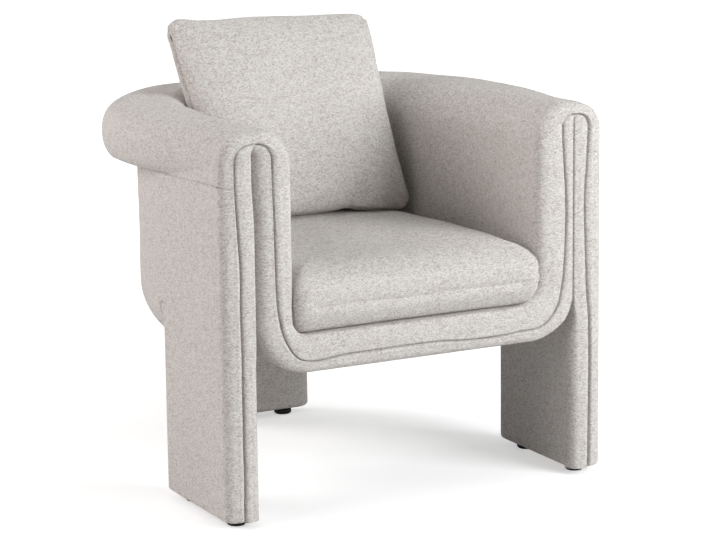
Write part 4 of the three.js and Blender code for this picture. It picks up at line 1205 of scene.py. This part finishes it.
def floor_material():
    """Pale floor with a painted glow that the camera alone sees: weaker under the chair and full
    away from it, so it stays white away from the chair and keeps a soft shadow under it.
    """
    n = Nodes("pale floor")
    n.shader.inputs["Base Color"].default_value = (0.68, 0.68, 0.68, 1)
    n.shader.inputs["Roughness"].default_value = 0.95
    n.shader.inputs["Specular IOR Level"].default_value = 0.0
    place = n.add("ShaderNodeTexCoord").outputs["Object"]
    far = n.add("ShaderNodeVectorMath", {0: place}, operation="LENGTH").outputs["Value"]
    values = {"Value": far, "From Min": FLOOR_FADE[0], "From Max": FLOOR_FADE[1]}
    values |= {"To Min": FLOOR_GLOW, "To Max": FLOOR_GLOW_AWAY}
    glow = n.add("ShaderNodeMapRange", values, interpolation_type="SMOOTHSTEP").outputs[0]
    # Painted light: camera rays see a paler floor than the one that bounces the lamps' light, plus
    # the glow.
    shown = n.add("ShaderNodeBsdfDiffuse", {"Color": (0.75, 0.75, 0.75, 1)}).outputs[0]
    light = n.add("ShaderNodeEmission", {"Color": (1, 1, 1, 1), "Strength": glow}).outputs[0]
    both = n.add("ShaderNodeAddShader", {0: shown, 1: light}).outputs[0]
    seen = n.add("ShaderNodeLightPath").outputs["Is Camera Ray"]
    chosen = n.add("ShaderNodeMixShader", {0: seen, 1: n.shader.outputs[0], 2: both}).outputs[0]
    n.tree.links.new(chosen, n.tree.nodes["Material Output"].inputs["Surface"])
    return n.material


def studio():
    """Floor, white surroundings for the camera alone, and the lamps."""
    mesh = bpy.data.meshes.new("floor")
    s = FLOOR_HALF
    mesh.from_pydata([(-s, -s, 0), (s, -s, 0), (s, s, 0), (-s, s, 0)], [], [(0, 1, 2, 3)])
    floor = add_object("floor", mesh)
    mesh.materials.append(floor_material())

    world = bpy.data.worlds.new("studio")
    bpy.context.scene.world = world
    world.use_nodes = True
    tree = world.node_tree
    dim = tree.nodes["Background"]
    dim.inputs["Strength"].default_value = 0.03
    dim.inputs["Color"].default_value = (1, 1, 1, 1)
    white = tree.nodes.new("ShaderNodeBackground")
    white.inputs["Color"].default_value = (1, 1, 1, 1)
    white.inputs["Strength"].default_value = 1.0
    path = tree.nodes.new("ShaderNodeLightPath")
    chooser = tree.nodes.new("ShaderNodeMixShader")
    tree.links.new(path.outputs["Is Camera Ray"], chooser.inputs[0])
    tree.links.new(dim.outputs[0], chooser.inputs[1])
    tree.links.new(white.outputs[0], chooser.inputs[2])
    tree.links.new(chooser.outputs[0], tree.nodes["World Output"].inputs["Surface"])

    for name, (place, power, tint) in LAMPS.items():
        light = bpy.data.lights.new(name, "AREA")
        light.shape = "SQUARE"
        light.size = LAMP_SIZE
        light.energy = power
        light.color = tint
        lamp = add_object(name, light)
        lamp.location = place
        towards = LAMPS_AIM - Vector(place)
        lamp.rotation_euler = towards.to_track_quat("-Z", "Y").to_euler()
        lamp.visible_camera = False


# The photograph's camera, fitted to the chair in a frame that is 716 pixels wide
PHOTO_WIDTH_PX, FOCAL_PX = 716, 2733.02
SENSOR = 36
AZIMUTH, ELEVATION, ROLL = math.radians(-27.74), math.radians(11.81), math.radians(-0.71)
AIM = Vector((0, 350, 350))
DISTANCE, MOVED_RIGHT, MOVED_UP = 5130.74, 53.16, 9.6


def camera():
    """Looks at the chair from the front left. It is moved sideways, as the chair isn't centred."""
    level = math.cos(ELEVATION)
    back = Vector((math.sin(AZIMUTH) * level, -math.cos(AZIMUTH) * level, math.sin(ELEVATION)))
    right = (-back).cross(Vector((0, 0, 1))).normalized()
    up = right.cross(-back)
    place = AIM + back * DISTANCE + right * MOVED_RIGHT + up * MOVED_UP
    place.y -= TOTAL / 2
    c, s = math.cos(ROLL), math.sin(ROLL)
    data = bpy.data.cameras.new("camera")
    data.sensor_width = SENSOR
    data.lens = SENSOR * FOCAL_PX / PHOTO_WIDTH_PX
    data.clip_end = 100
    obj = add_object("camera", data)
    turn = Matrix((right * c + up * s, up * c - right * s, back)).transposed().to_4x4()
    obj.matrix_world = Matrix.Translation(place * MM) @ turn
    bpy.context.scene.camera = obj


studio()
camera()
bpy.context.scene.view_settings.view_transform = "Standard"
